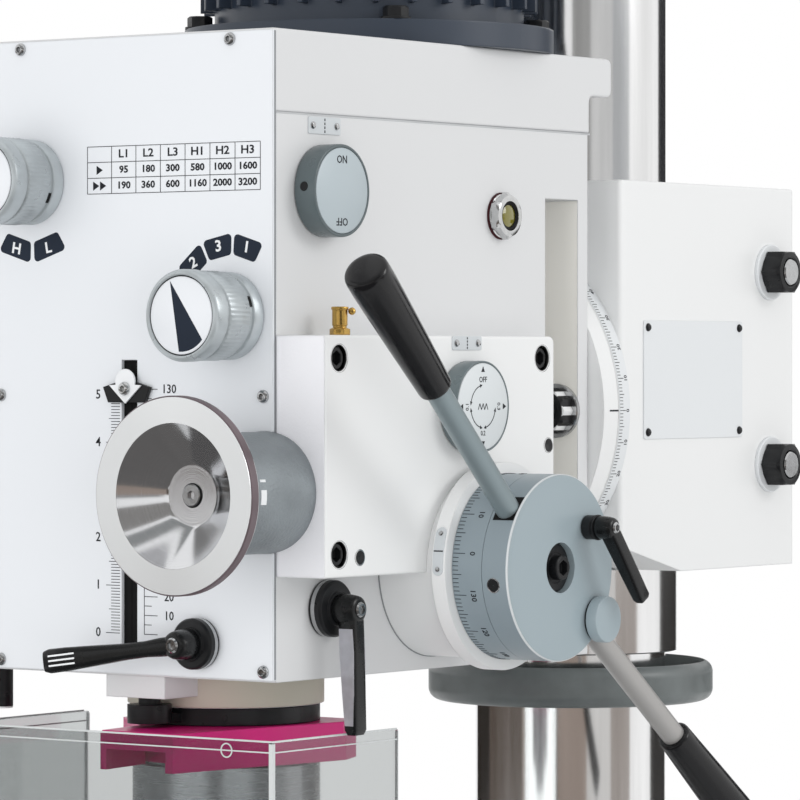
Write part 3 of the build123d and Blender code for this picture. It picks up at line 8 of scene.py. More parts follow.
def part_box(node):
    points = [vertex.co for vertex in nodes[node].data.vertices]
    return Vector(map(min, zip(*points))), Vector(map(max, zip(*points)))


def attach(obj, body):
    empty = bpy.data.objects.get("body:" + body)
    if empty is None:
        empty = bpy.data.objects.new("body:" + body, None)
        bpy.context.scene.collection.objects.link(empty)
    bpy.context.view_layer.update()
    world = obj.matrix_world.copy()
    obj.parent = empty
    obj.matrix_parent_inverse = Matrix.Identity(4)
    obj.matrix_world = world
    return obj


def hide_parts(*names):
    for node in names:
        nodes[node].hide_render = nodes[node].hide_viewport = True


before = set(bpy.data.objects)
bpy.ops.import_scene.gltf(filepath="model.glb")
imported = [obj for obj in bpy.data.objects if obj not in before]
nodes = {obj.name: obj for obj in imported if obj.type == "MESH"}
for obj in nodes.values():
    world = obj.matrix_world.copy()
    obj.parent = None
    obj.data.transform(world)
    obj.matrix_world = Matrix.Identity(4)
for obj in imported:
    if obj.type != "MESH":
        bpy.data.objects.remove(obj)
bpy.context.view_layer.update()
scene = bpy.context.scene
mm = 0.001
caseLow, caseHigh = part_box("gear_case")
headY = caseLow.y + 80 * mm  # spindle axis
headZ = caseHigh.z - 297 * mm  # underside of the gear case
print("frame loaded,", len(nodes), "nodes")

# Local X and Z of a surface that looks this way
facing = {
    "front": ((1, 0, 0), (0, -1, 0)),
    "right": ((0, 1, 0), (1, 0, 0)),
    "left": ((0, -1, 0), (-1, 0, 0)),
    "top": ((1, 0, 0), (0, 0, 1)),
}


def basis(right, out):
    out = Vector(out).normalized()
    right = (Vector(right) - out * Vector(right).dot(out)).normalized()
    return Matrix((right, out.cross(right), out)).transposed().to_4x4()


# A seat is the body that a piece rides on, with the place of the piece's own axes
def onHead(side, x, y, z, body="head"):  # millimetres from the spindle axis and the case underside
    return body, Matrix.Translation((x * mm, headY + y * mm, headZ + z * mm)) @ basis(*facing[side])


def onFloor(side, x, y, z, body="stand"):  # millimetres from the origin of the frame
    return body, Matrix.Translation((x * mm, y * mm, z * mm)) @ basis(*facing[side])


def within(seat, other):  # place of the other seat in this seat's millimetres
    at = seat[1].inverted() @ other[1]
    at.translation /= mm
    return at


# Finishes, all made from nodes
def tone(red, green, blue):
    def linear(value):
        value /= 255
        return value / 12.92 if value <= 0.04045 else ((value + 0.055) / 1.055) ** 2.4
    return (linear(red), linear(green), linear(blue), 1.0)


def shade(color, amount):
    return tuple(max(0.0, min(1.0, part * amount)) for part in color[:3]) + (1.0,)


def addNode(tree, kind, constants=None, **settings):
    node = tree.nodes.new("ShaderNode" + kind)
    for key, value in settings.items():
        setattr(node, key, value)
    for socket, value in (constants or {}).items():
        node.inputs[socket].default_value = value
    return node


def blankFinish(name, metal=0.0, rough=0.4, gloss=0.5):
    finish = bpy.data.materials.new(name)
    finish.use_nodes = True
    shader = finish.node_tree.nodes["Principled BSDF"]
    shader.inputs["Metallic"].default_value = metal
    shader.inputs["Roughness"].default_value = rough
    shader.inputs["Specular IOR Level"].default_value = gloss
    return finish, finish.node_tree, shader


def noiseOf(tree, scale, detail, stretch=(1, 1, 1)):
    coords = addNode(tree, "TexCoord")
    mapping = addNode(tree, "Mapping", {"Scale": stretch})
    noise = addNode(tree, "TexNoise", {"Scale": scale, "Detail": detail})
    tree.links.new(coords.outputs["Object"], mapping.inputs["Vector"])
    tree.links.new(mapping.outputs["Vector"], noise.inputs["Vector"])
    return noise.outputs["Fac"]


def colorFrom(tree, factor, low, high, socket):
    ramp = addNode(tree, "ValToRGB")
    for index, place, color in ((0, 0.3, low), (1, 0.7, high)):
        ramp.color_ramp.elements[index].position = place
        ramp.color_ramp.elements[index].color = color
    tree.links.new(factor, ramp.inputs["Fac"])
    tree.links.new(ramp.outputs["Color"], socket)


def rangeFrom(tree, factor, low, high, socket):
    spread = addNode(tree, "MapRange", {"From Min": 0.25, "From Max": 0.75, "To Min": low, "To Max": high})
    tree.links.new(factor, spread.inputs["Value"])
    tree.links.new(spread.outputs["Result"], socket)


def bumpFrom(tree, factor, shader, strength, depth, soften=0.0):
    bump = addNode(tree, "Bump", {"Strength": strength, "Distance": depth})
    if soften:  # rounds the light on casting edges
        edges = addNode(tree, "Bevel", {"Radius": soften}, samples=6)
        tree.links.new(edges.outputs["Normal"], bump.inputs["Normal"])
    tree.links.new(factor, bump.inputs["Height"])
    tree.links.new(bump.outputs["Normal"], shader.inputs["Normal"])


def paintFinish(name, color, rough, peel, peelScale=520, mottle=0.03, soften=0.0012):
    finish, tree, shader = blankFinish(name)
    colorFrom(tree, noiseOf(tree, 9, 4), shade(color, 1 - mottle), color, shader.inputs["Base Color"])
    rangeFrom(tree, noiseOf(tree, 90, 3), rough - 0.02, rough + 0.03, shader.inputs["Roughness"])
    bumpFrom(tree, noiseOf(tree, peelScale, 2), shader, peel, 0.0004, soften)
    return finish


def castFinish(name, color, rough, grain, metal=0.0, grainScale=260, gloss=0.5, mottle=0.18):
    finish, tree, shader = blankFinish(name, metal, gloss=gloss)
    dark, light = shade(color, 1 - mottle), shade(color, 1 + mottle * 0.4)
    colorFrom(tree, noiseOf(tree, 60, 6), dark, light, shader.inputs["Base Color"])
    rangeFrom(tree, noiseOf(tree, 120, 4), rough - 0.08, rough + 0.1, shader.inputs["Roughness"])
    bumpFrom(tree, noiseOf(tree, grainScale, 5), shader, grain, 0.0008, 0.0008)
    return finish


def groundFinish(name, color, rough, stretch, scale=40, spread=0.12):
    finish, tree, shader = blankFinish(name, 1.0)
    streak = noiseOf(tree, scale, 5, stretch)
    colorFrom(tree, streak, shade(color, 0.86), color, shader.inputs["Base Color"])
    rangeFrom(tree, streak, rough - spread / 2, rough + spread / 2, shader.inputs["Roughness"])
    bumpFrom(tree, streak, shader, 0.06, 0.0002)
    return finish


def turnedFinish(name, color, rough, swirl, metal=1.0, rings=0.08):  # turned about local Z
    finish, tree, shader = blankFinish(name, metal, rough)
    coords = addNode(tree, "TexCoord")
    split = addNode(tree, "SeparateXYZ")
    flat = addNode(tree, "CombineXYZ")
    reach = addNode(tree, "VectorMath", operation="LENGTH")
    scaled = addNode(tree, "Math", {1: 900}, operation="MULTIPLY")
    turning = addNode(tree, "TexNoise", {"Scale": 3.0, "Detail": 3.0}, noise_dimensions="1D")
    tangent = addNode(tree, "Tangent", direction_type="RADIAL", axis="Z")
    tree.links.new(coords.outputs["Object"], split.inputs["Vector"])
    tree.links.new(split.outputs["X"], flat.inputs["X"])
    tree.links.new(split.outputs["Y"], flat.inputs["Y"])
    tree.links.new(flat.outputs["Vector"], reach.inputs[0])
    tree.links.new(reach.outputs["Value"], scaled.inputs[0])
    tree.links.new(scaled.outputs["Value"], turning.inputs["W"])
    ripple = turning.outputs["Fac"]
    colorFrom(tree, ripple, shade(color, 1 - rings), color, shader.inputs["Base Color"])
    rangeFrom(tree, ripple, rough - rings * 0.6, rough + rings * 0.7, shader.inputs["Roughness"])
    bumpFrom(tree, ripple, shader, rings, 0.0001)
    tree.links.new(tangent.outputs["Tangent"], shader.inputs["Tangent"])
    shader.inputs["Anisotropic"].default_value = swirl
    return finish


def plasticFinish(name, color, rough, grain, grainScale=900, coat=0.0, gloss=0.5):
    finish, tree, shader = blankFinish(name, gloss=gloss)
    colorFrom(tree, noiseOf(tree, 30, 3), shade(color, 0.9), shade(color, 1.05), shader.inputs["Base Color"])
    rangeFrom(tree, noiseOf(tree, 150, 3), rough - 0.06, rough + 0.08, shader.inputs["Roughness"])
    bumpFrom(tree, noiseOf(tree, grainScale, 2), shader, grain, 0.0004)
    shader.inputs["Coat Weight"].default_value = coat
    return finish


def clearFinish(name, color, ior, rough):
    finish, tree, shader = blankFinish(name, 0.0, rough)
    colorFrom(tree, noiseOf(tree, 6, 2), shade(color, 0.985), color, shader.inputs["Base Color"])
    rangeFrom(tree, noiseOf(tree, 30, 4), rough, rough + 0.03, shader.inputs["Roughness"])
    shader.inputs["Transmission Weight"].default_value = 1.0
    shader.inputs["IOR"].default_value = ior
    return finish


finishes = {
    # painted shade: the gear case, its cover and the spring cap get a greyer white than the carrier and feed
    # box, for sides lying further from the light
    "case": paintFinish("caseEnamel", tone(218, 219, 220), 0.36, 0.02, 900, 0.012),
    "white": paintFinish("whiteEnamel", tone(236, 237, 237), 0.36, 0.03, 800, 0.015),
    "panel": paintFinish("panelEnamel", tone(231, 234, 238), 0.32, 0.01, 900, 0.008),
    "stand": paintFinish("standPowderCoat", tone(204, 207, 209), 0.46, 0.3, 900, 0.035),
    "navy": paintFinish("navyEnamel", tone(50, 59, 72), 0.34, 0.06),
    "magenta": paintFinish("magentaEnamel", tone(228, 18, 130), 0.3, 0.03, 600, 0.05),
    "castGrey": castFinish("groundCasting", tone(104, 110, 110), 0.36, 0.06),
    "roughGrey": castFinish("rawCasting", tone(138, 145, 149), 0.46, 0.7, 0.3, 620),
    "hubGrey": paintFinish("hubGreyEnamel", tone(156, 170, 176), 0.32, 0.02, 900, 0.03, soften=0.0004),
    # painted shade: the feed ring and the side of the hub get a darker copy of the hub grey, for surfaces
    # facing away from the light
    "sideShadeGrey": paintFinish("ringGreyEnamel", tone(138, 151, 158), 0.34, 0.02, 900, 0.04, soften=0.0002),
    # painted light and shade: both feed lever bars are one steel; the upper is painted darker and greener,
    # the lower lighter and warmer, for the reflections they catch
    "upperBar": turnedFinish("upperLeverSteel", tone(136, 149, 153), 0.34, 0.2, 0.4, 0.02),
    "lowerBar": turnedFinish("lowerLeverSteel", tone(170, 168, 166), 0.34, 0.2, 0.4, 0.02),
    "rimGrey": paintFinish("knobRim", tone(104, 116, 119), 0.28, 0.02, 900, 0.05, soften=0.0003),
    "switchRim": paintFinish("switchRim", tone(86, 97, 100), 0.28, 0.02, 900, 0.05, soften=0.0003),
    "switchFace": paintFinish("switchFaceEnamel", tone(180, 191, 196), 0.36, 0.02, 900, 0.02),
    "dialFace": paintFinish("dialFaceEnamel", tone(218, 223, 225), 0.38, 0.015, 900, 0.02),
    "steel": groundFinish("groundSteel", tone(168, 169, 171), 0.26, (1, 1, 20)),
    "steelX": groundFinish("drawnSteel", tone(190, 192, 194), 0.26, (60, 1, 1)),
    "screw": groundFinish("screwSteel", tone(190, 191, 192), 0.15, (1, 1, 1), 300, 0.06),
    "black": castFinish("blackenedSteel", tone(26, 27, 29), 0.32, 0.06, 0.0, 260, 0.3),
    "chrome": groundFinish("hardChrome", tone(240, 240, 240), 0.13, (1, 1, 0.05), 90, 0.05),
    "bright": groundFinish("brightPlating", tone(208, 209, 209), 0.16, (1, 1, 1), 300, 0.08),
    "tableIron": castFinish("planedIron", tone(158, 161, 163), 0.42, 0.05, 0.5, 700, mottle=0.06),
    "aluminium": turnedFinish("turnedAluminium", tone(226, 227, 229), 0.1, 0.35),
    "rimAluminium": turnedFinish("facedAluminium", tone(232, 234, 235), 0.24, 0.7, 0.5, 0.035),
    # painted shade: dark maroon-grey for the shadow on the outer wall of the bell wheel rim
    "rimEdgeShade": castFinish("wheelEdge", tone(112, 98, 103), 0.4, 0.12, 0.3, 620),
    # painted reflection: bare milled aluminium drawn as a near-white diffuse paint for its bright sheen
    "milledAluminium": paintFinish("milledAluminium", tone(248, 248, 252), 0.42, 0.35, 760, 0.06),
    "knobGrey": castFinish("knobAlloy", tone(188, 195, 198), 0.32, 0.02, 0.4, 900),
    "blackPlastic": plasticFinish("gripPlastic", tone(17, 17, 19), 0.2, 0.02, 900, 0.12, 0.3),
    "leverPlastic": plasticFinish("leverPlastic", tone(18, 19, 20), 0.26, 0.05, 700, 0.1, 0.3),
    # painted sheen: pale metal skin for the light face of a black lever bar
    "flank": groundFinish("leverFlank", tone(206, 206, 213), 0.4, (1, 1, 1), 200, 0.06),
    "ink": plasticFinish("printInk", tone(40, 42, 46), 0.6, 0.02, gloss=0.15),
    "tile": plasticFinish("tileInk", tone(36, 44, 57), 0.5, 0.02, gloss=0.15),
    "whiteInk": plasticFinish("whiteInk", tone(238, 240, 242), 0.42, 0.02),
    "seam": plasticFinish("seamShadow", tone(146, 149, 152), 0.6, 0.02, gloss=0.2),
    "gasket": plasticFinish("coverGasket", tone(190, 192, 194), 0.6, 0.05),
    "fibre": plasticFinish("fibreWasher", tone(60, 18, 24), 0.5, 0.08, gloss=0.2),
    "brass": castFinish("turnedBrass", tone(196, 160, 88), 0.2, 0.03, 1.0, 500),
    "clear": clearFinish("clearSheet", tone(196, 199, 199), 1.49, 0.02),
    # painted highlight: opaque pale strips for the bright polished edges of the clear sheet
    "sheetEdge": plasticFinish("sheetEdge", tone(208, 212, 212), 0.3, 0.02),
    "oil": plasticFinish("oilGlass", tone(120, 114, 34), 0.12, 0.02, 300, 0.8),
    "green": plasticFinish("greenButton", tone(28, 130, 62), 0.28, 0.03, 900, 0.3),
    "red": plasticFinish("redButton", tone(196, 24, 26), 0.28, 0.03, 900, 0.3),
    "rubber": plasticFinish("sealRubber", tone(20, 20, 21), 0.6, 0.08, 500, gloss=0.15),
    "plate": paintFinish("platedSheet", tone(226, 229, 231), 0.4, 0.01, 900, 0.012, soften=0.0001),
    "indexPlate": paintFinish("indexSheet", tone(206, 211, 214), 0.34, 0.02, 900, 0.02, soften=0.0001),
    # painted light: a brighter, warmer white than the case for light falling into the tilt pockets
    "pocketWallLit": paintFinish("pocketEnamel", tone(252, 250, 243), 0.4, 0.03, 800, 0.015),
    # painted shade: a darker, warmer copy of the white paint for the boss under the case
    "bossShade": paintFinish("bossPrimer", tone(198, 193, 178), 0.42, 0.05, 700, 0.05),
}
print("finishes made,", len(finishes))

nodeFinish = {
    "case": ["gear_case", "gear_case_cover", "spring_cap"],
    "white": ["base_casting", "column_flange", "saddle", "table_end_brackets", "carrier", "tilt_flange",
              "hub_housing", "control_box", "feed_box"],
    "panel": ["front_panel"],
    "stand": ["stand_cabinet", "stand_door"],
    "navy": ["motor"],
    "magenta": ["guard_holder"],
    "castGrey": ["support_collar", "column_cap"],
    "roughGrey": ["wheel_boss"],
    "hubGrey": ["feed_hub"],
    "sideShadeGrey": ["feed_ring"],
    "steel": ["lift_rack", "quill", "spindle", "spindle_bearings", "drive_sleeve", "layshaft", "motor_shaft"],
    "steelX": ["x_leadscrew", "y_leadscrew", "feed_shaft", "feed_levers", "lift_pinion"],
    "black": ["carrier_studs", "lift_crank", "quill_collar", "depth_pointer", "return_spring"],
    "chrome": ["column", "carrier_skirt"],
    "tableIron": ["table"],
    "bright": ["x_handwheels", "y_handwheel"],
    "knobGrey": ["range_knob", "speed_knob", "feed_switch", "feed_dial"],
    "aluminium": ["fine_feed_wheel"],
    "blackPlastic": ["lever_grips"],
    "leverPlastic": ["table_lock_lever", "hub_clamp_lever", "quill_lock_lever", "depth_lock_lever"],
    "brass": ["feed_nuts", "oil_cup"],
    "clear": ["guard_shield"],
    "oil": ["sight_glass"],
    "green": ["start_button"],
    "red": ["stop_button"],
}
for look, names in nodeFinish.items():
    for name in names:
        nodes[name].data.materials.clear()
        nodes[name].data.materials.append(finishes[look])


printHigh = 0.12  # thickness of printed marks


def pick(look, names):
    return [look[name] for name in names.split()]


# Mesh tools, local millimetres, +Z out of the surface
def spot(x, y, z=0.0, turn=0.0):
    return Matrix.Translation((x, y, z)) @ Matrix.Rotation(math.radians(turn), 4, "Z")


def fourSpots(x, y, z=0.0):
    return [spot(side * x, end * y, z) for side in (-1, 1) for end in (-1, 1)]


def polar(radius, degrees):
    angle = math.radians(degrees)
    return radius * math.cos(angle), radius * math.sin(angle)


def squared(value, power):
    return math.copysign(abs(value) ** power, value)


def rectangle(left, right, low, high):
    return [(left, low), (right, low), (right, high), (left, high)]


def roundedRect(width, height, radius, steps=4):
    outline = []
    for cx, cy, start in ((1, 1, 0), (-1, 1, 90), (-1, -1, 180), (1, -1, 270)):
        for step in range(steps + 1):
            x, y = polar(radius, start + 90 * step / steps)
            outline.append((cx * (width / 2 - radius) + x, cy * (height / 2 - radius) + y))
    return outline


def softened(points, radius, steps=3):  # rounds the inner corners of a profile
    result = [points[0]]
    for before, corner, after in zip(points, points[1:], points[2:]):
        corner, before, after = Vector(corner), Vector(before), Vector(after)
        cut = min(radius, (before - corner).length / 2.1, (after - corner).length / 2.1)
        start = corner + (before - corner).normalized() * cut
        end = corner + (after - corner).normalized() * cut
        for step in range(steps + 1):
            t = step / steps
            result.append(tuple(start.lerp(corner, t).lerp(corner.lerp(end, t), t)))
    result.append(points[-1])
    return result


def curveThrough(points, steps=6):  # smooth profile through the given points
    ends = [points[0]] + list(points) + [points[-1]]
    result = []
    for a, b, c, d in zip(ends, ends[1:], ends[2:], ends[3:]):
        for step in range(steps):
            t = step / steps
            result.append(tuple(0.5 * (2 * q + (r - p) * t + (2 * p - 5 * q + 4 * r - s) * t * t
                                       + (3 * q - p - 3 * r + s) * t ** 3) for p, q, r, s in zip(a, b, c, d)))
    return result + [points[-1]]


def radiusAt(spec, angle):
    if not isinstance(spec, tuple):
        return spec
    kind, size = spec[0], spec[1]
    if kind == "hex":  # half the width across flats
        return size / math.cos((angle + math.pi / 6) % (math.pi / 3) - math.pi / 6)
    return size + spec[2] * math.cos(angle * spec[3])  # ribbed


def addLathe(bm, profile, steps=48, at=Matrix(), closed=False):
    rings = []
    for radius, height in profile:
        if radius == 0:
            rings.append([bm.verts.new(at @ Vector((0, 0, height)))])
            continue
        ring = []
        for step in range(steps):
            angle = 2 * math.pi * step / steps
            reach = radiusAt(radius, angle)
            ring.append(bm.verts.new(at @ Vector((reach * math.cos(angle), reach * math.sin(angle), height))))
        rings.append(ring)
    pairs = list(zip(rings, rings[1:]))
    if closed:
        pairs.append((rings[-1], rings[0]))
    else:  # flat caps on open ends
        for ring in (rings[0], rings[-1]):
            if len(ring) > 1:
                bm.faces.new(ring)
    for low, high in pairs:
        for step in range(steps):
            after = (step + 1) % steps
            if len(low) == 1 and len(high) == 1:
                break
            if len(low) == 1:
                bm.faces.new((low[0], high[after], high[step]))
            elif len(high) == 1:
                bm.faces.new((low[step], low[after], high[0]))
            else:
                bm.faces.new((low[step], low[after], high[after], high[step]))


def addWalls(bm, rings):  # from each ring of vertices to the next
    for low, high in zip(rings, rings[1:]):
        for step in range(len(low)):
            after = (step + 1) % len(low)
            bm.faces.new((low[step], low[after], high[after], high[step]))


def addLoft(bm, rings):
    bm.faces.new(list(reversed(rings[0])))
    bm.faces.new(rings[-1])
    addWalls(bm, rings)


def addPrism(bm, outline, low, high, at=Matrix()):
    addLoft(bm, [[bm.verts.new(at @ Vector((x, y, z))) for x, y in outline] for z in (low, high)])


def addBar(bm, x, y, width, height, low=0.0, high=printHigh, turn=0.0, at=Matrix()):
    w, h = width / 2, height / 2
    addPrism(bm, rectangle(-w, w, -h, h), low, high, at @ spot(x, y, 0, turn))


def addSector(bm, inner, outer, start, end, low, high, steps, at=Matrix()):
    angles = [start + (end - start) * step / steps for step in range(steps + 1)]
    outline = [polar(outer, angle) for angle in angles] + [polar(inner, angle) for angle in reversed(angles)]
    addPrism(bm, outline, low, high, at)


def addArcPlate(bm, inner, outer, middle, half, corner, at):  # tile bent round a point
    mean, arc = (inner + outer) / 2, 2 * (inner + outer) / 2 * math.radians(half)
    outline = []
    for along, rise in roundedRect(arc, outer - inner, corner):
        angle = math.radians(middle) - along / mean
        outline.append(((mean + rise) * math.cos(angle), (mean + rise) * math.sin(angle)))
    addPrism(bm, outline[::-1], 0, printHigh, at)


def addText(bm, words, size, x, y, turn=0.0, high=printHigh, at=Matrix(), bold=0.01, wide=1.0):
    curve = bpy.data.curves.new("words", "FONT")
    curve.body = words
    curve.size = size
    curve.align_x = "CENTER"
    curve.align_y = "CENTER"
    curve.extrude = high / 2
    curve.offset = bold * size
    curve.resolution_u = 2
    holder = bpy.data.objects.new("words", curve)
    scene.collection.objects.link(holder)
    bpy.context.view_layer.update()
    mesh = bpy.data.meshes.new_from_object(holder.evaluated_get(bpy.context.evaluated_depsgraph_get()))
    mesh.transform(at @ spot(x, y, high / 2, turn) @ Matrix.Diagonal((wide, 1, 1, 1)))
    bm.from_mesh(mesh)
    bpy.data.meshes.remove(mesh)
    bpy.data.objects.remove(holder)
    bpy.data.curves.remove(curve)


# Marks on a round rim: local Z is its axis, angle 0 lies along local X
def rimSpot(radius, angle, height):
    bearing = math.radians(angle)
    out = Vector((math.cos(bearing), math.sin(bearing), 0))
    return Matrix.Translation(out * radius + Vector((0, 0, height))) @ basis((-out.y, out.x, 0), out)


def addRimBar(bm, radius, angle, wide, low, high, thick=printHigh):
    half = math.degrees(wide / 2 / radius)
    steps = max(1, round(half / 2))
    addSector(bm, radius - 0.3, radius + thick, angle - half, angle + half, low, high, steps)


def addButtonScrew(bm, radius, at):  # domed, with a hexagon socket
    rise = radius * 0.62
    dome = [(radius, 0), (radius, rise * 0.25), (radius * 0.92, rise * 0.6), (radius * 0.74, rise * 0.88),
            (radius * 0.56, rise), (("hex", radius * 0.42), rise), (("hex", radius * 0.40), rise * 0.25),
            (0, rise * 0.2)]
    addLathe(bm, dome, 24, at)


def addSocketScrew(bm, radius, height, at):
    head = [(radius, 0), (radius, height * 0.9), (radius * 0.9, height), (("hex", radius * 0.58), height),
            (("hex", radius * 0.56), height * 0.35), (0, height * 0.3)]
    addLathe(bm, head, 24, at)


def addRivet(bm, radius, at):
    dome = [(radius, 0), (radius, radius * 0.2), (radius * 0.7, radius * 0.55), (0, radius * 0.7)]
    addLathe(bm, dome, 14, at)


def addHexBolt(bm, across, height, washer, at):
    wide, top = across / 2, washer + height
    addLathe(bm, [(0, 0), (wide * 1.35, 0), (wide * 1.35, washer), (wide * 0.6, washer)], 30, at)
    head = [(("hex", wide), washer), (("hex", wide), washer + height * 0.86), (wide * 0.96, top), (0, top)]
    addLathe(bm, head, 36, at)


# Pieces: a mesh with its finish on a seat, in the place of a CAD node where one is named
def makePiece(bm, name, look, seat, node=None, bevel=0.0, sharp=36.0, slotName=None):
    body, at = seat
    bmesh.ops.remove_doubles(bm, verts=bm.verts, dist=1e-5)
    bmesh.ops.recalc_face_normals(bm, faces=bm.faces)
    for edge in bm.edges:
        edge.smooth = len(edge.link_faces) == 2 and edge.calc_face_angle(0.0) < math.radians(sharp)
    for face in bm.faces:
        face.smooth = True
    bm.transform(Matrix.Scale(mm, 4))
    mesh = bpy.data.meshes.new(name)
    bm.to_mesh(mesh)
    bm.free()
    mesh.materials.append(finishes[look])
    piece = bpy.data.objects.new(name, mesh)
    scene.collection.objects.link(piece)
    piece.matrix_world = at
    if bevel:
        rounding = piece.modifiers.new("rounding", "BEVEL")
        rounding.width = bevel * mm
        rounding.segments = 2
        rounding.limit_method = "ANGLE"
        rounding.angle_limit = math.radians(40)
    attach(piece, body)
    if node:
        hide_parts(node)


def turnedPiece(name, look, seat, profile, steps=48, at=Matrix(), closed=False, **extra):
    bm = bmesh.new()
    addLathe(bm, profile, steps, at, closed)
    makePiece(bm, name, look, seat, **extra)


def platePiece(name, look, seat, outline, low, high, at=Matrix(), **extra):
    bm = bmesh.new()
    addPrism(bm, outline, low, high, at)
    makePiece(bm, name, look, seat, **extra)


def fastenerPiece(name, look, seat, add, sizes, places, **extra):  # like fasteners at several places
    bm = bmesh.new()
    for at in places:
        add(bm, *sizes, at)
    makePiece(bm, name, look, seat, **extra)


# Front panel print, scales and screws
panelLook = {"left": -29.0, "right": 88.0, "top": 282.0, "rowHigh": 8.4, "line": 0.35,
             "zero": 22.5, "inchEdge": -6.55, "mmEdge": 10.2, "inch": 25.4, "tileIn": 31.8, "tileOut": 43.0,
             "screws": ((-76, 336), (68, 336), (-90, 149), (90, 149), (-90, 5.5), (90, 5.5))}
speeds = {"L1": ("95", "190"), "L2": ("180", "360"), "L3": ("300", "600"),
          "H1": ("580", "1160"), "H2": ("1000", "2000"), "H3": ("1600", "3200")}
knobPlaces = {"range": (-68, 264), "speed": (68, 191)}
panelFace = onHead("front", 0, -83, 0)
bm = bmesh.new()
left, right, top, rowHigh, line = pick(panelLook, "left right top rowHigh line")
cellWide = (right - left) / (len(speeds) + 1)
for row in range(4):
    addBar(bm, (left + right) / 2, top - row * rowHigh, right - left, line)
for column in range(len(speeds) + 2):
    addBar(bm, left + column * cellWide, top - 1.5 * rowHigh, line, 3 * rowHigh)
for column, (label, pair) in enumerate(speeds.items(), 1):
    middle = left + (column + 0.5) * cellWide
    addText(bm, label, 6.1, middle, top - 0.5 * rowHigh, bold=0.02, wide=1.25)
    for row, speed in enumerate(pair):
        addText(bm, speed, 5.2, middle, top - (row + 1.5) * rowHigh, bold=0.03, wide=1.2)
for row, arrows in enumerate(((0,), (-2.4, 2.4))):  # slow and fast
    for shift in arrows:
        cx, cy = left + cellWide / 2 + shift, top - (row + 1.5) * rowHigh
        addPrism(bm, [(cx - 2, cy - 2.4), (cx + 2.2, cy), (cx - 2, cy + 2.4)], 0, printHigh)
zero = panelLook["zero"]
for sixteenth in range(81):
    height = zero + panelLook["inch"] * sixteenth / 16
    long = 9.5 if sixteenth % 16 == 0 else 7.5 if sixteenth % 8 == 0 else 6.0
    addBar(bm, panelLook["inchEdge"] - long / 2, height, long, line)
    if sixteenth % 16 == 0:
        addText(bm, str(sixteenth // 16), 7.0, -21.5, height)
for depth in range(0, 131, 5):
    long = 9.0 if depth % 10 == 0 else 5.0
    addBar(bm, panelLook["mmEdge"] + long / 2, zero + depth, long, line)
    if depth % 10 == 0 and depth:
        addText(bm, str(depth), 6.6, 27.0, zero + depth)
addBar(bm, panelLook["mmEdge"], zero + 65, line, 130)
addText(bm, "inch", 5.4, -20.0, zero - 9.5)
addText(bm, "mm", 5.4, 21.0, zero - 9.5)
makePiece(bm, "panelPrint", "ink", panelFace)

tileSets = {"range": (15.6, (("H", -107), ("L", -72))), "speed": (13.2, (("2", 131), ("3", 102), ("1", 73)))}
tileBm, figureBm = bmesh.new(), bmesh.new()
inner, outer = panelLook["tileIn"], panelLook["tileOut"]
for tag, (half, figures) in tileSets.items():
    x, z = knobPlaces[tag]
    for figure, angle in figures:
        addArcPlate(tileBm, inner, outer, angle, half, 2.2, spot(x, z))
        across, rise = polar((inner + outer) / 2, angle)
        lean = angle + 90 if angle < 0 else angle - 90
        at = spot(x + across, z + rise, printHigh)
        addText(figureBm, figure, 8.2, 0, 0, lean * 0.6, 0.1, at, 0.025, 1.1)
makePiece(tileBm, "panelTiles", "tile", panelFace)
makePiece(figureBm, "tileFigures", "whiteInk", panelFace)
places = [spot(*at) for at in panelLook["screws"]]
fastenerPiece("panelScrews", "screw", panelFace, addButtonScrew, (3.5,), places)
print("front panel dressed")

# Speed and range knobs
knobLook = {"ribs": 60, "ribDeep": 0.16, "band": 23.3, "rim": 24.0, "face": 20.2, "height": 41.8}


def buildKnob(tag, pointing, slotAngle):
    x, z = knobPlaces[tag]
    node = tag + "_knob"
    seat = onHead("front", x, -83, z, node)
    tall, rim, face = knobLook["height"], knobLook["rim"], knobLook["face"]
    band = ("rib", knobLook["band"], knobLook["ribDeep"], knobLook["ribs"])
    outer = [(0, 0.3), (22.3, 0.3), (23, 1.0), (23, 7.0), (22.4, 8.2), (21.3, 8.6), (21.2, 11.4),
             (22.4, 11.8), (22.9, 12.2), (band, 12.8), (band, 28.4), (22.8, 29.2), (22.3, 29.5),
             (22.3, 30.4), (23.2, 30.9), (rim, 32), (rim, tall - 2.6), (rim - 0.5, tall - 1.1),
             (rim - 1.4, tall - 0.3), (rim - 2.4, tall - 0.1), (face + 0.7, tall - 0.6),
             (face + 0.5, tall - 2.4), (0, tall - 2.4)]
    turnedPiece(tag + "KnobBody", "knobGrey", seat, outer, 240, node=node)
    bm = bmesh.new()
    addLathe(bm, rectangle(face, face + 0.6, tall - 2.3, tall - 1.2), 72, closed=True)
    addRimBar(bm, 21.4, slotAngle, 5.6, 7.6, 12.4, 0.5)
    makePiece(bm, tag + "KnobGroove", "rubber", seat)
    cap = [(0, tall - 2.3), (face, tall - 2.3), (face, tall - 0.9), (face - 0.3, tall - 0.7), (0, tall - 0.7)]
    turnedPiece(tag + "KnobCap", "panel", seat, cap, 72)
    wedge = [(19.2, 0)] + [polar(18.8, 180 - 26 + 52 * step / 8) for step in range(9)]
    platePiece(tag + "KnobPointer", "tile", seat, wedge, tall - 0.7, tall - 0.55, spot(0, 0, 0, pointing))


buildKnob("range", -72, -25)
buildKnob("speed", 112, 20)
print("knobs made")


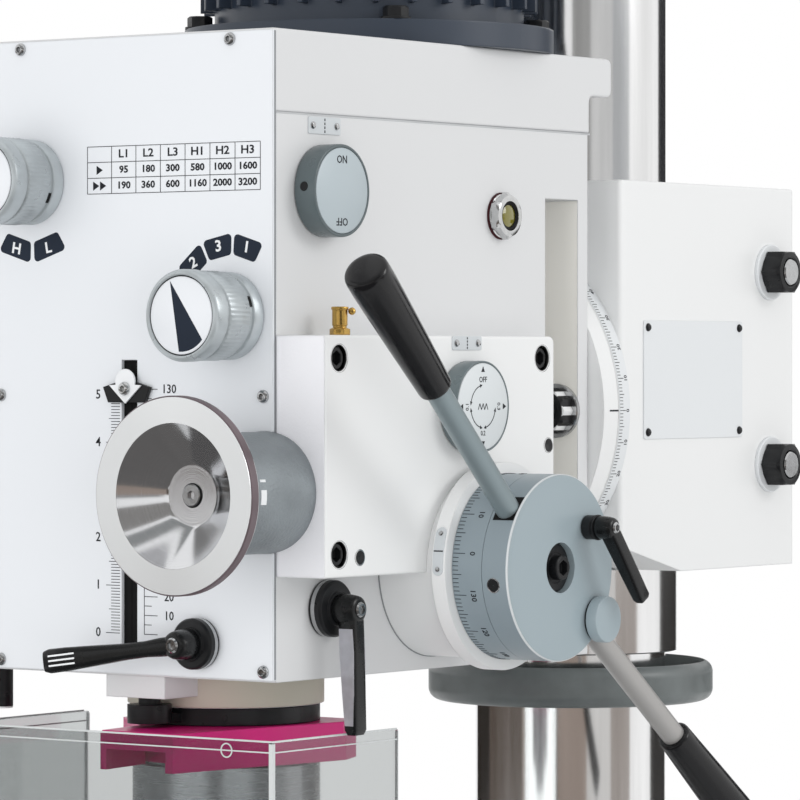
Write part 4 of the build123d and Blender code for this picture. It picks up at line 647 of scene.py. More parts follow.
# Black clamp levers; a handle's rows are share of its reach, breadth, thickness and dip
sweptShape = [(0.0, 0.80, 0.78, 0), (0.12, 0.78, 0.80, 0), (0.24, 0.66, 0.74, 0.2), (0.40, 0.68, 0.66, 0.3),
              (0.62, 0.84, 0.62, 0.2), (0.84, 0.98, 0.60, 0), (0.96, 1.0, 0.56, 0), (1.0, 0.86, 0.40, 0)]
barShape = [(0.0, 0.84, 0.9, 0), (0.1, 0.9, 1.0, 0), (0.35, 0.9, 0.94, 0), (0.7, 0.94, 0.82, 0),
            (0.96, 0.96, 0.72, 0), (1.0, 0.8, 0.5, 0)]


def buildLever(tag, node, seat, hub, neck, tall, reach, rise, wide, shape, grooves=0, square=0.55):
    base = [(0, 0.3), (hub - 0.6, 0.3), (hub, 0.9), (hub, tall * 0.36), (hub - 1.0, tall * 0.42),
            (neck * 1.12, tall * 0.44), (neck * 1.1, tall * 0.5), (0, tall * 0.5)]
    turnedPiece(tag + "Base", "black", seat, base)
    if hub > neck * 1.4:  # bright band on the flange
        band = rectangle(hub - 0.5, hub + 0.12, tall * 0.1, tall * 0.22)
        turnedPiece(tag + "Band", "screw", seat, band, 60, closed=True, slotName="bare_steel")
    bm = bmesh.new()
    boss = [(0, tall * 0.45), (neck, tall * 0.45), (neck, tall * 0.8), (neck * 0.86, tall * 1.16),
            (0, tall * 1.16)]
    addLathe(bm, softened(boss, 2.2), 36)
    lift, middle, around = math.tan(math.radians(rise)), tall * 0.86, 24
    rings = []
    for along, broad, thick, dip in shape:
        ring = []
        for step in range(around):
            angle = 2 * math.pi * step / around + math.pi / around
            y = squared(math.cos(angle), square) * wide / 2 * broad
            z = squared(math.sin(angle), square) * wide / 2 * thick
            ring.append(bm.verts.new((along * reach, y, middle + along * reach * lift + z - dip)))
        rings.append(ring)
    addLoft(bm, rings)
    makePiece(bm, tag + "Handle", "leverPlastic", seat, node, sharp=32)
    screw = [(neck * 0.5, tall * 1.14), (neck * 0.5, tall * 1.19), (neck * 0.4, tall * 1.24),
             (("hex", neck * 0.28), tall * 1.24), (("hex", neck * 0.26), tall * 1.17), (0, tall * 1.165)]
    turnedPiece(tag + "Screw", "screw", seat, screw, 24, slotName="bare_steel")
    if grooves:
        bm = bmesh.new()
        face = Matrix.Translation((0, 0, middle)) @ Matrix.Rotation(-math.atan(lift), 4, "Y")
        for index in range(grooves):
            shift = (index - (grooves - 1) / 2) * wide * 0.2
            addBar(bm, reach * 0.88, shift, reach * 0.2, 0.9, wide * 0.285, wide * 0.305, at=face)
        makePiece(bm, tag + "Grooves", "whiteInk", seat, slotName="chromed")


def leverSeat(body, x, y, z, out, along):
    return body, Matrix.Translation((x * mm, headY + y * mm, headZ + z * mm)) @ basis(along, out)


across, rise = polar(1, 8)
depthSeat = leverSeat("depth_lock", 48, -83, 19, (0, -1, 0), (-across, 0, -rise))
buildLever("depthLock", "depth_lock_lever", depthSeat, 13.5, 8.1, 20, 78, 12, 13, sweptShape, 3)
quillSeat = leverSeat("quill_lock", 96, -38, 37, (1, 0, 0), (0, 0.02, -1))
buildLever("quillLock", "quill_lock_lever", quillSeat, 15, 8.1, 20, 66, 2, 11, barShape, square=0.3)
# painted sheen: pale flanks on both sides of the black bar where it catches the light
flank = [(10, 13.2), (22, 13.4), (44, 14.8), (61, 16.2), (61, 21.8), (44, 22.4), (22, 22.4), (10, 21.8)]
bm = bmesh.new()
for side in (-1, 1):  # pale flanks of the bar
    addPrism(bm, flank, 4.4, 5.35, Matrix.Rotation(math.pi / 2, 4, "X") @ Matrix.Scale(side, 4, (0, 0, 1)))
makePiece(bm, "quillLockFlanks", "flank", quillSeat)
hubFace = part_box("feed_hub")[1].x / mm
clampSeat = leverSeat("hub_clamp", hubFace, 85, 78, (1, 0, 0), (0, *polar(1, -61)))
buildLever("hubLock", "hub_clamp_lever", clampSeat, 6.6, 6.2, 16, 45, 10, 9, barShape, square=0.3)
print("clamp levers made")

# Seams of the panel, the cover with its gasket, and the dark seal behind the depth slot
seamLook = {"coverZ": 297.0, "half": 96.15, "front": -80.0, "rear": 214.15}
headTop = onHead("top", 0, 0, 0)
bm = bmesh.new()
for side in (-1, 1):  # line between panel and case
    addPrism(bm, rectangle(side * 95.6, side * 96.12, -81.6, -80.3)[::side], 1.5, 339.5)
makePiece(bm, "panelSeams", "seam", headTop)
gasket = rectangle(-seamLook["half"], seamLook["half"], seamLook["front"], seamLook["rear"])
platePiece("coverGasket", "gasket", headTop, gasket, seamLook["coverZ"] - 0.5, seamLook["coverZ"] + 0.5)

coverLook = {"front": -82.2, "rear": 214.0, "lip": 237.0, "low": 297.6, "lipLow": 319.0, "top": 341.0,
             "half": 96.0, "round": 4.5, "wall": 8.0, "roof": 2.4}
front, rear, lip, low, lipLow, top = pick(coverLook, "front rear lip low lipLow top")
bm = bmesh.new()
corners = [(rear, low), (rear, lipLow), (lip, lipLow), (lip, top), (front, top)]
profile = [(front, low)] + softened(corners, coverLook["round"], 4)
addPrism(bm, profile, -coverLook["half"], coverLook["half"])
opening = next(face for face in bm.faces if all(abs(vert.co.y - low) < 0.01 for vert in face.verts))
wall, middle, rings = coverLook["wall"], opening.calc_center_median(), [list(opening.verts)]
bmesh.ops.delete(bm, geom=[opening], context="FACES_ONLY")
for depth in (low, top - coverLook["roof"]):  # foot of the wall, then the underside of the roof
    ring = []
    for vert in rings[0]:
        x = vert.co.x + math.copysign(wall, middle.x - vert.co.x)
        z = vert.co.z + math.copysign(wall, middle.z - vert.co.z)
        ring.append(bm.verts.new((x, depth, z)))
    rings.append(ring)
addWalls(bm, rings)
bm.faces.new(rings[-1])
makePiece(bm, "coverShell", "case", onHead("right", 0, 0, 0), "gear_case_cover", bevel=1.0, sharp=30)
bm = bmesh.new()
for side in (-1, 1):
    addBar(bm, side * 2.75, 89, 5.2, 157, -2.6, -2.1)
makePiece(bm, "slotSeal", "rubber", panelFace)
housingRing = rectangle(49.9, 50.5, 0.02, 0.5)
turnedPiece("housingSeam", "seam", onHead("right", 96, 60, 57), housingRing, 120, closed=True)

# Depth pointer: white chevron with a round tab and its chromed screw
pointerLook = {"wing": 11.0, "shoulder": 154.6, "tip": 144.8, "tab": 6.7, "tabZ": 156.6, "screwZ": 152.8}
pointerSeat = onHead("front", 0, -85.8, 0, "quill")
outline = [(0, pointerLook["tip"]), (pointerLook["wing"], pointerLook["shoulder"])]
for step in range(13):
    across, rise = polar(pointerLook["tab"], -15 + 210 * step / 12)
    outline.append((across, pointerLook["tabZ"] + rise))
outline.append((-pointerLook["wing"], pointerLook["shoulder"]))
platePiece("pointerChevron", "whiteInk", pointerSeat, outline, 0.02, 1.2, bevel=0.25)
screwSpot = spot(0, pointerLook["screwZ"], 1.2)
fastenerPiece("pointerScrew", "bright", pointerSeat, addButtonScrew, (3.7,), [screwSpot])
print("seams and pointer made")

# Bell-shaped fine feed wheel, turned from aluminium, on its boss
wheelLook = {"x": 91.0, "z": 99.0, "rim": 51.0, "face": 79.6, "flat": 36.8, "floor": 63.2,
             "boss": 30.2, "bossEnd": 47.0}
rim, face, flat, floorAt = pick(wheelLook, "rim face flat floor")
wheelSeat = onHead("front", wheelLook["x"], -80, wheelLook["z"], "fine_feed_wheel")
back = curveThrough([(19, 32.6), (20.4, 40), (25.6, 51), (36, 63.4), (rim - 0.8, face - 6.6)])
bowl = [(rim - 0.3, face - 6.2), (rim - 0.3, face - 0.9), (rim - 0.8, face - 0.1), (flat + 0.3, face - 0.1),
        (flat - 0.2, face - 0.5), (17.4, floorAt + 1.1), (15.6, floorAt + 0.2), (0, floorAt)]
bell = [(0, 32.6)] + back + bowl
turnedPiece("bellWheel", "aluminium", wheelSeat, bell, 180, node="fine_feed_wheel", sharp=24)
faced = [(flat + 0.4, face - 0.3), (rim - 0.7, face - 0.3), (rim - 0.8, face), (flat + 0.4, face)]
turnedPiece("bellWheelRim", "rimAluminium", wheelSeat, faced, 180, closed=True)
# painted shade: the outer wall of the rim is coloured dark for the shade on it
edge = [(rim - 0.6, face - 6.1), (rim, face - 5.6), (rim, face - 0.8), (rim - 0.6, face - 0.3)]
turnedPiece("bellWheelEdge", "rimEdgeShade", wheelSeat, edge, 180, closed=True)
screw = [(5.7, floorAt), (5.7, floorAt + 1.1), (5.2, floorAt + 1.6), (("hex", 2.2), floorAt + 1.6),
         (("hex", 2.1), floorAt - 1.0), (0, floorAt - 1.2)]
turnedPiece("bellWheelScrew", "screw", wheelSeat, screw, 36)
turnedPiece("bellWheelRing", "black", wheelSeat, rectangle(5.75, 6.4, floorAt, floorAt + 0.35), closed=True)
boss, bossEnd = wheelLook["boss"], wheelLook["bossEnd"]
bossSeat = onHead("front", wheelLook["x"], -80, wheelLook["z"])
sleeve = [(24.6, 0.3), (boss + 1.55, 0.3), (boss + 1.5, 24), (boss, bossEnd), (25.4, bossEnd),
          (24.6, bossEnd - 6)]
turnedPiece("bossSleeve", "roughGrey", bossSeat, softened(sleeve, 1.2), 96, closed=True)
bm = bmesh.new()
for angle, wide in ((14, 1.4), (-2, 7.6)):
    addRimBar(bm, boss + 0.35, angle, wide, bossEnd - 6, bossEnd - 1.6)
makePiece(bm, "bossMarks", "whiteInk", bossSeat)
print("fine feed wheel made")

# Feed box: socket screws in machined bores, two plugs and the milled front
boxLook = {"screws": ((-68, 67), (-68, 169), (119, 67), (119, 169)), "plugs": ((-50, 65), (125, 121)),
           "bore": 6.95, "deep": -7.9}
boxSide = onHead("right", 128, 0, 0)
bore, deep = boxLook["bore"], boxLook["deep"]
screwBm, boreBm, plugBm = bmesh.new(), bmesh.new(), bmesh.new()
boreWall = [(bore, deep), (bore, -0.4), (bore + 0.5, 0.06), (bore + 0.75, 0.02), (bore + 0.75, -0.6)]
for y, z in boxLook["screws"]:
    addSocketScrew(screwBm, 6.1, 6.2, spot(y, z, deep))
    addLathe(boreBm, boreWall, 40, spot(y, z), True)
for y, z in boxLook["plugs"]:
    addLathe(boreBm, [(3.7, 0), (3.7, 0.2), (4.4, 0.16), (4.5, 0)], 30, spot(y, z), True)
    addLathe(plugBm, [(3.7, 0.02), (3.7, 0.1), (("hex", 2.0), 0.1), (0, 0.05)], 30, spot(y, z))
makePiece(screwBm, "boxScrews", "black", boxSide)
makePiece(boreBm, "boxBores", "bright", boxSide, slotName="bare_aluminium")
makePiece(plugBm, "boxPlugs", "black", boxSide)
# painted reflection: the milled front is a near-white paint that stands in for the sheen of bare aluminium
milledSeat = onHead("front", 112, -80, 118)
milledFace = roundedRect(31.4, 125.4, 0.8)
platePiece("boxMilledFace", "milledAluminium", milledSeat, milledFace, 0.02, 0.4, bevel=0.15)


# Small riveted index plate with a dotted mark in its middle
def buildIndexPlate(tag, seat, wide, high):
    platePiece(tag + "Plate", "indexPlate", seat, roundedRect(wide, high, 0.8), 0, 0.7, bevel=0.15)
    rivets = [spot(side * wide * 0.37, 0, 0.7) for side in (-1, 1)]
    fastenerPiece(tag + "Rivets", "screw", seat, addRivet, (2.0,), rivets)
    bm = bmesh.new()
    for row in range(4):
        addBar(bm, 0, (row - 1.5) * high * 0.23, 0.8, high * 0.15, 0.7, 0.8)
    makePiece(bm, tag + "Mark", "ink", seat)


buildIndexPlate("switchIndex", onHead("right", 96, -38.7, 291.5), 28, 9)
buildIndexPlate("dialIndex", onHead("right", 128, 46.3, 177.1), 27, 7.5)


# Flat round knob on the right side with a separate face disc
def buildSideKnob(tag, seat, radius, tall, faceRadius, rimLook, faceLook):
    outer = [(0, 0.3), (radius, 0.3), (radius, tall), (faceRadius + 0.3, tall),
             (faceRadius + 0.2, tall - 0.6), (0, tall - 0.6)]
    turnedPiece(tag + "Body", rimLook, seat, softened(outer, 1.5), 96, node=seat[0])
    face = [(0, tall - 0.55), (faceRadius, tall - 0.55), (faceRadius, tall - 0.15),
            (faceRadius - 0.3, tall - 0.05), (0, tall - 0.05)]
    turnedPiece(tag + "Face", faceLook, seat, face, 96)
    grub = [(2.5, -0.3), (2.5, 0.12), (2.1, 0.16), (("hex", 1.2), 0.16), (0, 0.08)]
    turnedPiece(tag + "Grub", "black", seat, grub, 24, rimSpot(radius, 176, tall * 0.52))


switchSeat = onHead("right", 96, -41, 257, "feed_switch")
buildSideKnob("feedSwitch", switchSeat, 24.5, 13.8, 22.6, "switchRim", "switchFace")
bm = bmesh.new()
for word, height, turn in (("ON", 16.2, 0), ("OFF", -16.2, 180)):
    addText(bm, word, 5.8, 0, height, turn, 0.1, spot(0, 0, 13.75))
makePiece(bm, "feedSwitchWords", "ink", switchSeat)

dialLook = {"tip": 21.6, "arc": 11.4, "thick": 0.5, "level": 11.95, "high": 0.1,
            "words": (("OFF", 4.2, 0, 14.4, 0), ("0.1", 3.6, -14.6, 0, 90), ("0.2", 3.6, 0, -14.4, 0),
                      ("0.3", 3.6, 14.6, 0, -90))}
dialSeat = onHead("right", 128, 45, 143, "feed_dial")
buildSideKnob("feedDial", dialSeat, 24.6, 12.0, 23.4, "rimGrey", "dialFace")
level = spot(0, 0, dialLook["level"])
tip, arc, thick, high = pick(dialLook, "tip arc thick high")
bm = bmesh.new()
arrow = [(tip, 0), (tip - 3.0, 1.6), (tip - 3.0, -1.6)]
for quarter in range(4):
    addPrism(bm, arrow, 0, high, level @ spot(0, 0, 0, 90 * quarter))
for word, size, x, y, turn in dialLook["words"]:
    addText(bm, word, size, x, y, turn, high, level)
for start, end in ((104, 166), (194, 256), (284, 346)):
    addSector(bm, arc - thick / 2, arc + thick / 2, start, end, 0, high, 10, level)
    for angle, way in ((start, -1), (end, 1)):
        arrow = [(0, 2.2 * way), (-1.0, 0), (1.0, 0)]
        addPrism(bm, arrow, 0, high, level @ spot(*polar(arc, angle), 0, angle))
for index in range(6):
    addBar(bm, -3.75 + 1.5 * index, 0, 0.5, 3.6, 0, high, 24 if index % 2 else -24, level)
makePiece(bm, "feedDialMarks", "ink", dialSeat)

# Brass oiler: hexagon foot, round body and a hinged ball lid
bm = bmesh.new()
cup = [(0, 0.05), (("hex", 4.7), 0.05), (("hex", 4.7), 3.2), (4.5, 3.6), (3.7, 3.9), (3.7, 4.8),
       (4.1, 5.2), (4.1, 13.2), (4.6, 13.5), (4.6, 14.6), (4.1, 15), (0, 15)]
addLathe(bm, cup, 36)
ball = [(0, -2.1), (1.2, -1.7), (2.0, -0.6), (2.0, 0.6), (1.2, 1.7), (0, 2.1)]
addLathe(bm, ball, 20, spot(0, 0, 12.6) @ rimSpot(6.4, 30, 0))
makePiece(bm, "oilerBody", "brass", onHead("top", 112, -46, 181), "oil_cup")

# Oil sight glass: gasket, hexagon nut, black ring and the oil behind its lens
glassSeat, glassSize = onHead("right", 96, 124.5, 248), Matrix.Scale(0.88, 4)
gasket = [(0, 0.02), (14.6, 0.02), (14.9, 0.6), (14.6, 1.2), (0, 1.2)]
turnedPiece("glassGasket", "fibre", glassSeat, gasket, 60, glassSize)
nut = [(0, 1.2), (14.0, 1.2), (14.0, 2.0), (("hex", 13), 2.3), (("hex", 13), 6.0), (12.9, 7.6), (11.6, 7.9),
       (9.4, 7.9), (9.2, 7.4), (9.2, 5.4), (0, 5.4)]
turnedPiece("glassNut", "bright", glassSeat, nut, 72, glassSize, node="sight_glass")
ring = [(9.15, 5.4), (9.15, 7.3), (8.7, 7.5), (7.3, 6.7), (6.9, 5.4)]
turnedPiece("glassRing", "rubber", glassSeat, ring, 48, glassSize, True)
lens = [(6.95, 5.4), (6.9, 6.4), (5.6, 7.0), (3.2, 7.45), (0, 7.6)]
turnedPiece("glassLens", "oil", glassSeat, lens, 48, glassSize)
print("feed box dressed")

# Feed hub: graduated ring, index plate, centre screw, lever cap, rim hole and black grips
hubLook = {"y": 60.0, "z": 57.0, "ringX": 144.3, "ringR": 50.0, "flangeX": 135.0, "flangeR": 56.0,
           "hubX": 163.6, "faceX": 180.0, "zero": 170.0, "ticks": 140, "lean": 4.0, "middle": 171.8,
           "levers": {"upper": 139.5, "lower": 319.5}, "notch": (9.8, 8.6)}
plateLook = {"half": 13, "straight": 9.9, "round": 3.2, "height": 4.55, "rivets": (160.2, 179.8)}


def onHub(x, body="feed_hub"):
    return onHead("right", x, hubLook["y"], hubLook["z"], body)


zero, radius, plateR = hubLook["zero"], hubLook["ringR"], hubLook["flangeR"]
bm = bmesh.new()
for tick in range(hubLook["ticks"]):
    angle = zero - 360 / hubLook["ticks"] * tick
    addRimBar(bm, radius, angle, 0.34, 0.4, 8 if tick % 10 == 0 else 6 if tick % 5 == 0 else 4)
    if tick % 10 == 0:
        addText(bm, str(tick), 4.6, 0, 0, at=rimSpot(radius, angle, 12.6))
makePiece(bm, "feedRingMarks", "ink", onHub(hubLook["ringX"], "feed_ring"))

flangeSeat = onHub(hubLook["flangeX"], "head")
bm = bmesh.new()
rings = []
for along in range(-plateLook["half"], plateLook["half"] + 1):  # plate with round ends, wrapped on the flange
    past, tall = abs(along) - plateLook["straight"], plateLook["round"]
    half = tall if past <= 0 else math.sqrt(max(0.05, tall ** 2 - past ** 2))
    angle = math.radians(zero) + along / plateR
    ring = []
    for reach, rise in rectangle(plateR - 0.2, plateR + 0.6, -half, half):
        point = (reach * math.cos(angle), reach * math.sin(angle), plateLook["height"] + rise)
        ring.append(bm.verts.new(point))
    rings.append(ring)
addLoft(bm, rings)
makePiece(bm, "hubIndexPlate", "indexPlate", flangeSeat, sharp=50)
rivets = [rimSpot(plateR + 0.6, angle, plateLook["height"]) for angle in plateLook["rivets"]]
fastenerPiece("hubIndexRivets", "screw", flangeSeat, addRivet, (1.4,), rivets)
bm = bmesh.new()
addRimBar(bm, plateR + 0.6, zero, 0.7, 1.6, 7.5)
makePiece(bm, "hubIndexMark", "ink", flangeSeat)

bm = bmesh.new()
addLathe(bm, [(0, 0.05), (13.2, 0.05), (13.2, 2.2), (12.4, 2.8), (8.6, 2.8), (8.2, 2.2), (0, 2.2)], 60)
addSocketScrew(bm, 6.6, 5.6, spot(0, 0, 2.2))
makePiece(bm, "hubScrew", "black", onHub(hubLook["faceX"] - 6))
faceSeat, rimSeat = onHub(hubLook["faceX"]), onHub(hubLook["hubX"])
capSpot, holeSpot = spot(*polar(45, -40)), rimSpot(radius, 189, 7)
cap = [(0, 1.5), (12.5, 1.5), (12.5, 7.2), (12.2, 7.8), (11.6, 8), (0, 8)]
turnedPiece("leverCap", "hubGrey", faceSeat, cap, 60, capSpot)
# a narrow neck under the cap, painted black as the shade in the gap between cap and hub face
turnedPiece("leverCapGroove", "black", faceSeat, rectangle(0, 11.6, 0.02, 1.55), 48, capSpot)
ring = [(3.4, -0.6), (3.4, 0.25), (3.9, 0.3), (4.1, 0.05), (4.1, -0.6)]
turnedPiece("hubHoleRing", "screw", rimSeat, ring, 30, holeSpot, True)
plug = [(3.4, -0.6), (3.4, 0.12), (("hex", 1.8), 0.12), (0, 0.04)]
turnedPiece("hubHolePlug", "black", rimSeat, plug, 24, holeSpot)

deep = hubLook["faceX"] - hubLook["hubX"]
faced = [(radius - 6, deep - 2), (radius - 0.5, deep - 2), (radius - 0.5, deep + 0.02),
         (radius - 6, deep - 0.02)]
turnedPiece("hubRim", "hubGrey", rimSeat, faced, 240, closed=True)
# painted highlight: the chamfer of the hub's front edge is painted pale for the bright line it catches
edge = [(radius - 0.55, deep - 2), (radius + 0.06, deep - 1.2), (radius + 0.06, deep - 0.5),
        (radius - 0.5, deep + 0.03)]
turnedPiece("hubRimEdge", "dialFace", rimSeat, edge, 240, closed=True, sharp=20, slotName="bare_aluminium")
sideBm, notchShadeBm = bmesh.new(), bmesh.new()
above, below = hubLook["notch"]
# painted shade: the rim between the levers takes the darker side grey, and a black notch round each lever
# stands for the dark inside of its slot
for start in hubLook["levers"].values():  # rim between the levers, and the dark notch round each of them
    addSector(sideBm, radius - 0.8, radius + 0.05, start + below, start + 180 - above, 0.05, deep - 1.1, 80)
    addSector(notchShadeBm, radius - 0.5, radius + 0.03, start - above, start + below, 1.7, deep - 1.1, 14)
    addSector(sideBm, radius - 0.8, radius + 0.05, start - above, start + below, 0.05, 1.7, 14)
makePiece(sideBm, "hubSide", "sideShadeGrey", rimSeat)
# painted shade: black sheets for the dark inside of each lever slot
makePiece(notchShadeBm, "leverNotches", "rubber", rimSeat)

gripLook = {"start": 149.6, "end": 242.0, "neck": 9.3, "wide": 12.0, "bar": 6.5, "foot": 38.5}
start, end, neck, wide, bar, foot = pick(gripLook, "start end neck wide bar foot")
rod = [(0, foot), (bar - 1.4, foot), (bar, foot + 1.4), (bar, start + 1.2), (0, start + 1.2)]
grip = [(0, start), (neck - 1.2, start), (neck - 0.2, start + 0.5), (neck, start + 1.6),
        (neck + 0.5, start + 15), (neck + 1.4, start + 39), (neck + 2.3, start + 66), (wide, end - 12),
        (wide, end - 4.2), (wide - 0.2, end - 2.4), (wide - 0.8, end - 1.1), (wide - 1.8, end - 0.4),
        (wide - 3.4, end - 0.1), (0, end)]
lean = math.radians(hubLook["lean"])
for tag, angle in hubLook["levers"].items():
    bearing = math.radians(angle)
    way = (math.sin(lean), math.cos(lean) * math.cos(bearing), math.cos(lean) * math.sin(bearing))
    start = hubLook["middle"] - radius * math.tan(lean)
    seat = leverSeat("feed_hub", start, hubLook["y"], hubLook["z"], way, (1, 0, 0))
    first = tag == "upper"  # the CAD levers are one node, and so are their grips
    # each bar takes its own tone of the lever steel, darker above and lighter below, painted shade and light
    turnedPiece(tag + "Bar", tag + "Bar", seat, rod, 60, node="feed_levers" if first else None)
    turnedPiece(tag + "Grip", "blackPlastic", seat, grip, 64, node="lever_grips" if first else None, sharp=60)
print("feed hub dressed")

# Tilt joint: nuts in the pockets, degree scale on the carrier disc and the mark on the flange
tiltLook = {"z": 139.0, "rim": 106.0, "bolt": 82.0, "scaleFront": 241.0, "markFront": 229.0, "sweep": 50}
tiltSeat = onHead("front", 0, 202, tiltLook["z"])
washer = [(7.2, 0.05), (15.5, 0.05), (15.5, 2.4), (14.9, 2.9), (7.2, 2.9)]
nut = [(("hex", 11.3), 2.9), (("hex", 11.3), 11.2), (11.1, 12.6), (7.6, 12.8), (7.3, 12.4), (7.3, 14.8),
       (6.6, 15.6), (0, 15.6)]
nutBm, washerBm, wallBm = bmesh.new(), bmesh.new(), bmesh.new()
for side in (-1, 1):
    at = spot(side * tiltLook["bolt"], 0)
    addLathe(washerBm, washer, 48, at, True)
    addLathe(nutBm, nut, 48, at)
    addPrism(wallBm, rectangle(side * 44.3, side * 95.6, -63.6, 119.6)[::side], 0.01, 0.045)
makePiece(washerBm, "tiltWashers", "screw", tiltSeat)
makePiece(nutBm, "tiltNuts", "black", tiltSeat)
# painted light: thin sheets on the pocket walls in the brighter pocket white
makePiece(wallBm, "tiltPocketWalls", "pocketWallLit", tiltSeat)
scaleSeat = onHead("front", 0, tiltLook["scaleFront"], tiltLook["z"], "carrier")
rim, sweep = tiltLook["rim"], tiltLook["sweep"]
bandBm, inkBm, markBm = bmesh.new(), bmesh.new(), bmesh.new()
for middle in (0, 180):
    addSector(bandBm, rim - 0.2, rim + 0.5, middle - sweep - 3, middle + sweep + 3, 0.6, 11.0, 60)
    for degree in range(-sweep, sweep + 1):
        long = 5.6 if degree % 10 == 0 else 4.4 if degree % 5 == 0 else 3.0
        addRimBar(inkBm, rim + 0.5, middle + degree, 0.34, 10.8 - long, 10.8)
        if degree % 10 == 0:
            addText(inkBm, str(abs(degree)), 3.8, 0, 0, at=rimSpot(rim + 0.5, middle + degree, 2.9))
    addRimBar(markBm, rim, middle, 0.9, 0.2, 9, 0.2)
makePiece(bandBm, "tiltScale", "plate", scaleSeat, sharp=50)
makePiece(inkBm, "tiltScaleMarks", "ink", scaleSeat)
makePiece(markBm, "tiltPointer", "ink", onHead("front", 0, tiltLook["markFront"], tiltLook["z"]))

# Carrier: bare plate with rivets, and the chamfered clamp nuts
carrierLook = {"plateY": 318.0, "plateZ": 156.5, "wide": 108.0, "high": 69.0, "thick": 0.9,
               "studY": 404.0, "studs": (105.0, 221.0), "side": 100.0}
plateSeat = onHead("right", carrierLook["side"], carrierLook["plateY"], carrierLook["plateZ"], "carrier")
wide, high, thick = carrierLook["wide"], carrierLook["high"], carrierLook["thick"]
platePiece("carrierPlate", "plate", plateSeat, roundedRect(wide, high, 1.5), 0.02, thick, bevel=0.2)
rivets = fourSpots(wide / 2 - 4, high / 2 - 4, thick)
fastenerPiece("carrierPlateRivets", "black", plateSeat, addRivet, (2.4,), rivets)
washer = [(8, 0.05), (16.6, 0.05), (16.8, 0.4), (16.8, 1.8), (16.2, 2.4), (8, 2.4)]
nut = [(12.2, 2.4), (("hex", 12.3), 3.2), (("hex", 12.3), 13.6), (12.2, 15.2), (9.4, 15.6), (8.5, 15),
       (8.3, 13.4), (0, 13.4)]
carrierSide = onHead("right", 0, 0, 0, "carrier")
nutBm, washerBm, studBm = bmesh.new(), bmesh.new(), bmesh.new()
for z in carrierLook["studs"]:
    for side, place in (("right", 1), ("left", -1)):
        stud = onHead(side, place * carrierLook["side"], carrierLook["studY"], z)
        at = within(carrierSide, stud) @ spot(0, 0, 0, 30)
        addLathe(washerBm, washer, 60, at, True)
        addLathe(nutBm, nut, 72, at)
        addLathe(studBm, [(7.9, 13.4), (7.9, 15.4), (7.2, 16.2), (0, 16.2)], 40, at)
makePiece(nutBm, "carrierNuts", "black", carrierSide, "carrier_studs", sharp=28)
makePiece(washerBm, "carrierWashers", "plate", carrierSide, slotName="bare_steel")
makePiece(studBm, "carrierStudEnds", "screw", carrierSide, slotName="bare_steel")
print("tilt joint and carrier dressed")

# Chromed column, the sleeve under the carrier and a darker, warmer skin on the boss round the quill, painted
# shade under the case
columnLook = {"y": 190.0, "outer": 57.5, "inner": 45.5, "low": 708.0, "high": 1830.1,
              "sleeve": 64.5, "slot": 12.2}
outer, inner, low, high = pick(columnLook, "outer inner low high")
tube = [(inner, low), (outer, low), (outer, high - 1.5), (outer - 1.5, high), (inner, high)]
columnSeat = onFloor("top", 0, columnLook["y"], 0)
turnedPiece("columnTube", "chrome", columnSeat, tube, 192, closed=True, node="column")
bm = bmesh.new()
wrap = 180 - columnLook["slot"]
addSector(bm, outer + 0.06, columnLook["sleeve"], -wrap, wrap, -7, 44, 168)
makePiece(bm, "carrierSleeve", "chrome", onHead("top", 0, 337.5, 0, "carrier"), "carrier_skirt", bevel=0.7)
bossLook = {"radius": 53.5, "drop": 18.5}
boss, drop = bossLook["radius"], bossLook["drop"]
skin = softened(rectangle(boss - 0.6, boss + 0.25, -0.1, -drop + 0.2), 0.2)
# painted shade: darker warm skin over the white quill boss
turnedPiece("quillBossPrimer", "bossShade", headTop, skin, 120, closed=True)
print("column made")

# Clear guard: folded sheet, pale strips painted as the highlights of its polished edges, and a pale ring
# painted as the bright edge of a rim hole
shieldLook = {"half": 109.0, "front": 100.0, "rear": 10.0, "top": -29.0, "low": -199.0,
              "fold": 5.5, "thick": 3.6, "holeX": 79.0}
half, front, rear, top, low, thick = pick(shieldLook, "half front rear top low thick")
guardSeat = onHead("top", 0, 0, 0, "guard")


def folded(out, end):  # the sheet's line from above, moved outward
    return [(-half - out, end), (-half - out, -front - out), (half + out, -front - out), (half + out, end)]


sheet = folded(0, rear) + folded(-thick, rear)[::-1]
platePiece("guardSheet", "clear", guardSeat, sheet, low, top, node="guard_shield", bevel=0.5)
bm = bmesh.new()
for height, tall in ((top + 0.1, 0.9), (top - shieldLook["fold"], 0.7)):
    addPrism(bm, folded(0.15, rear - 1) + folded(-0.6, rear - 1)[::-1], height - tall / 2, height + tall / 2)
for side in (-1, 1):
    corner = [(side * (half + 0.12), -front - 0.12), (side * (half + 0.12), -front + 2.2),
              (side * (half - 2.2), -front - 0.12)]
    addPrism(bm, corner[::side], low + 1, top - 1)
    end = rectangle(side * (half - thick - 0.1), side * (half + 0.1), rear - 0.4, rear + 0.15)
    addPrism(bm, end[::side], low + 1, top - 1)
hole = Matrix.Translation((shieldLook["holeX"], -front, top - shieldLook["fold"])) @ basis(*facing["front"])
addLathe(bm, [(3.2, -0.1), (3.2, 0.3), (3.9, 0.3), (3.9, -0.1)], 30, hole, True)
makePiece(bm, "guardEdges", "sheetEdge", guardSeat)
print("guard dressed")

# Handwheels of the cross table: rounded rim, tapered spokes, graduated dial and a black handle
handLook = {"rim": 54.0, "halfRim": 8.0, "hub": 20.0, "hubLong": 26.0, "handle": 69.8, "divisions": 50}


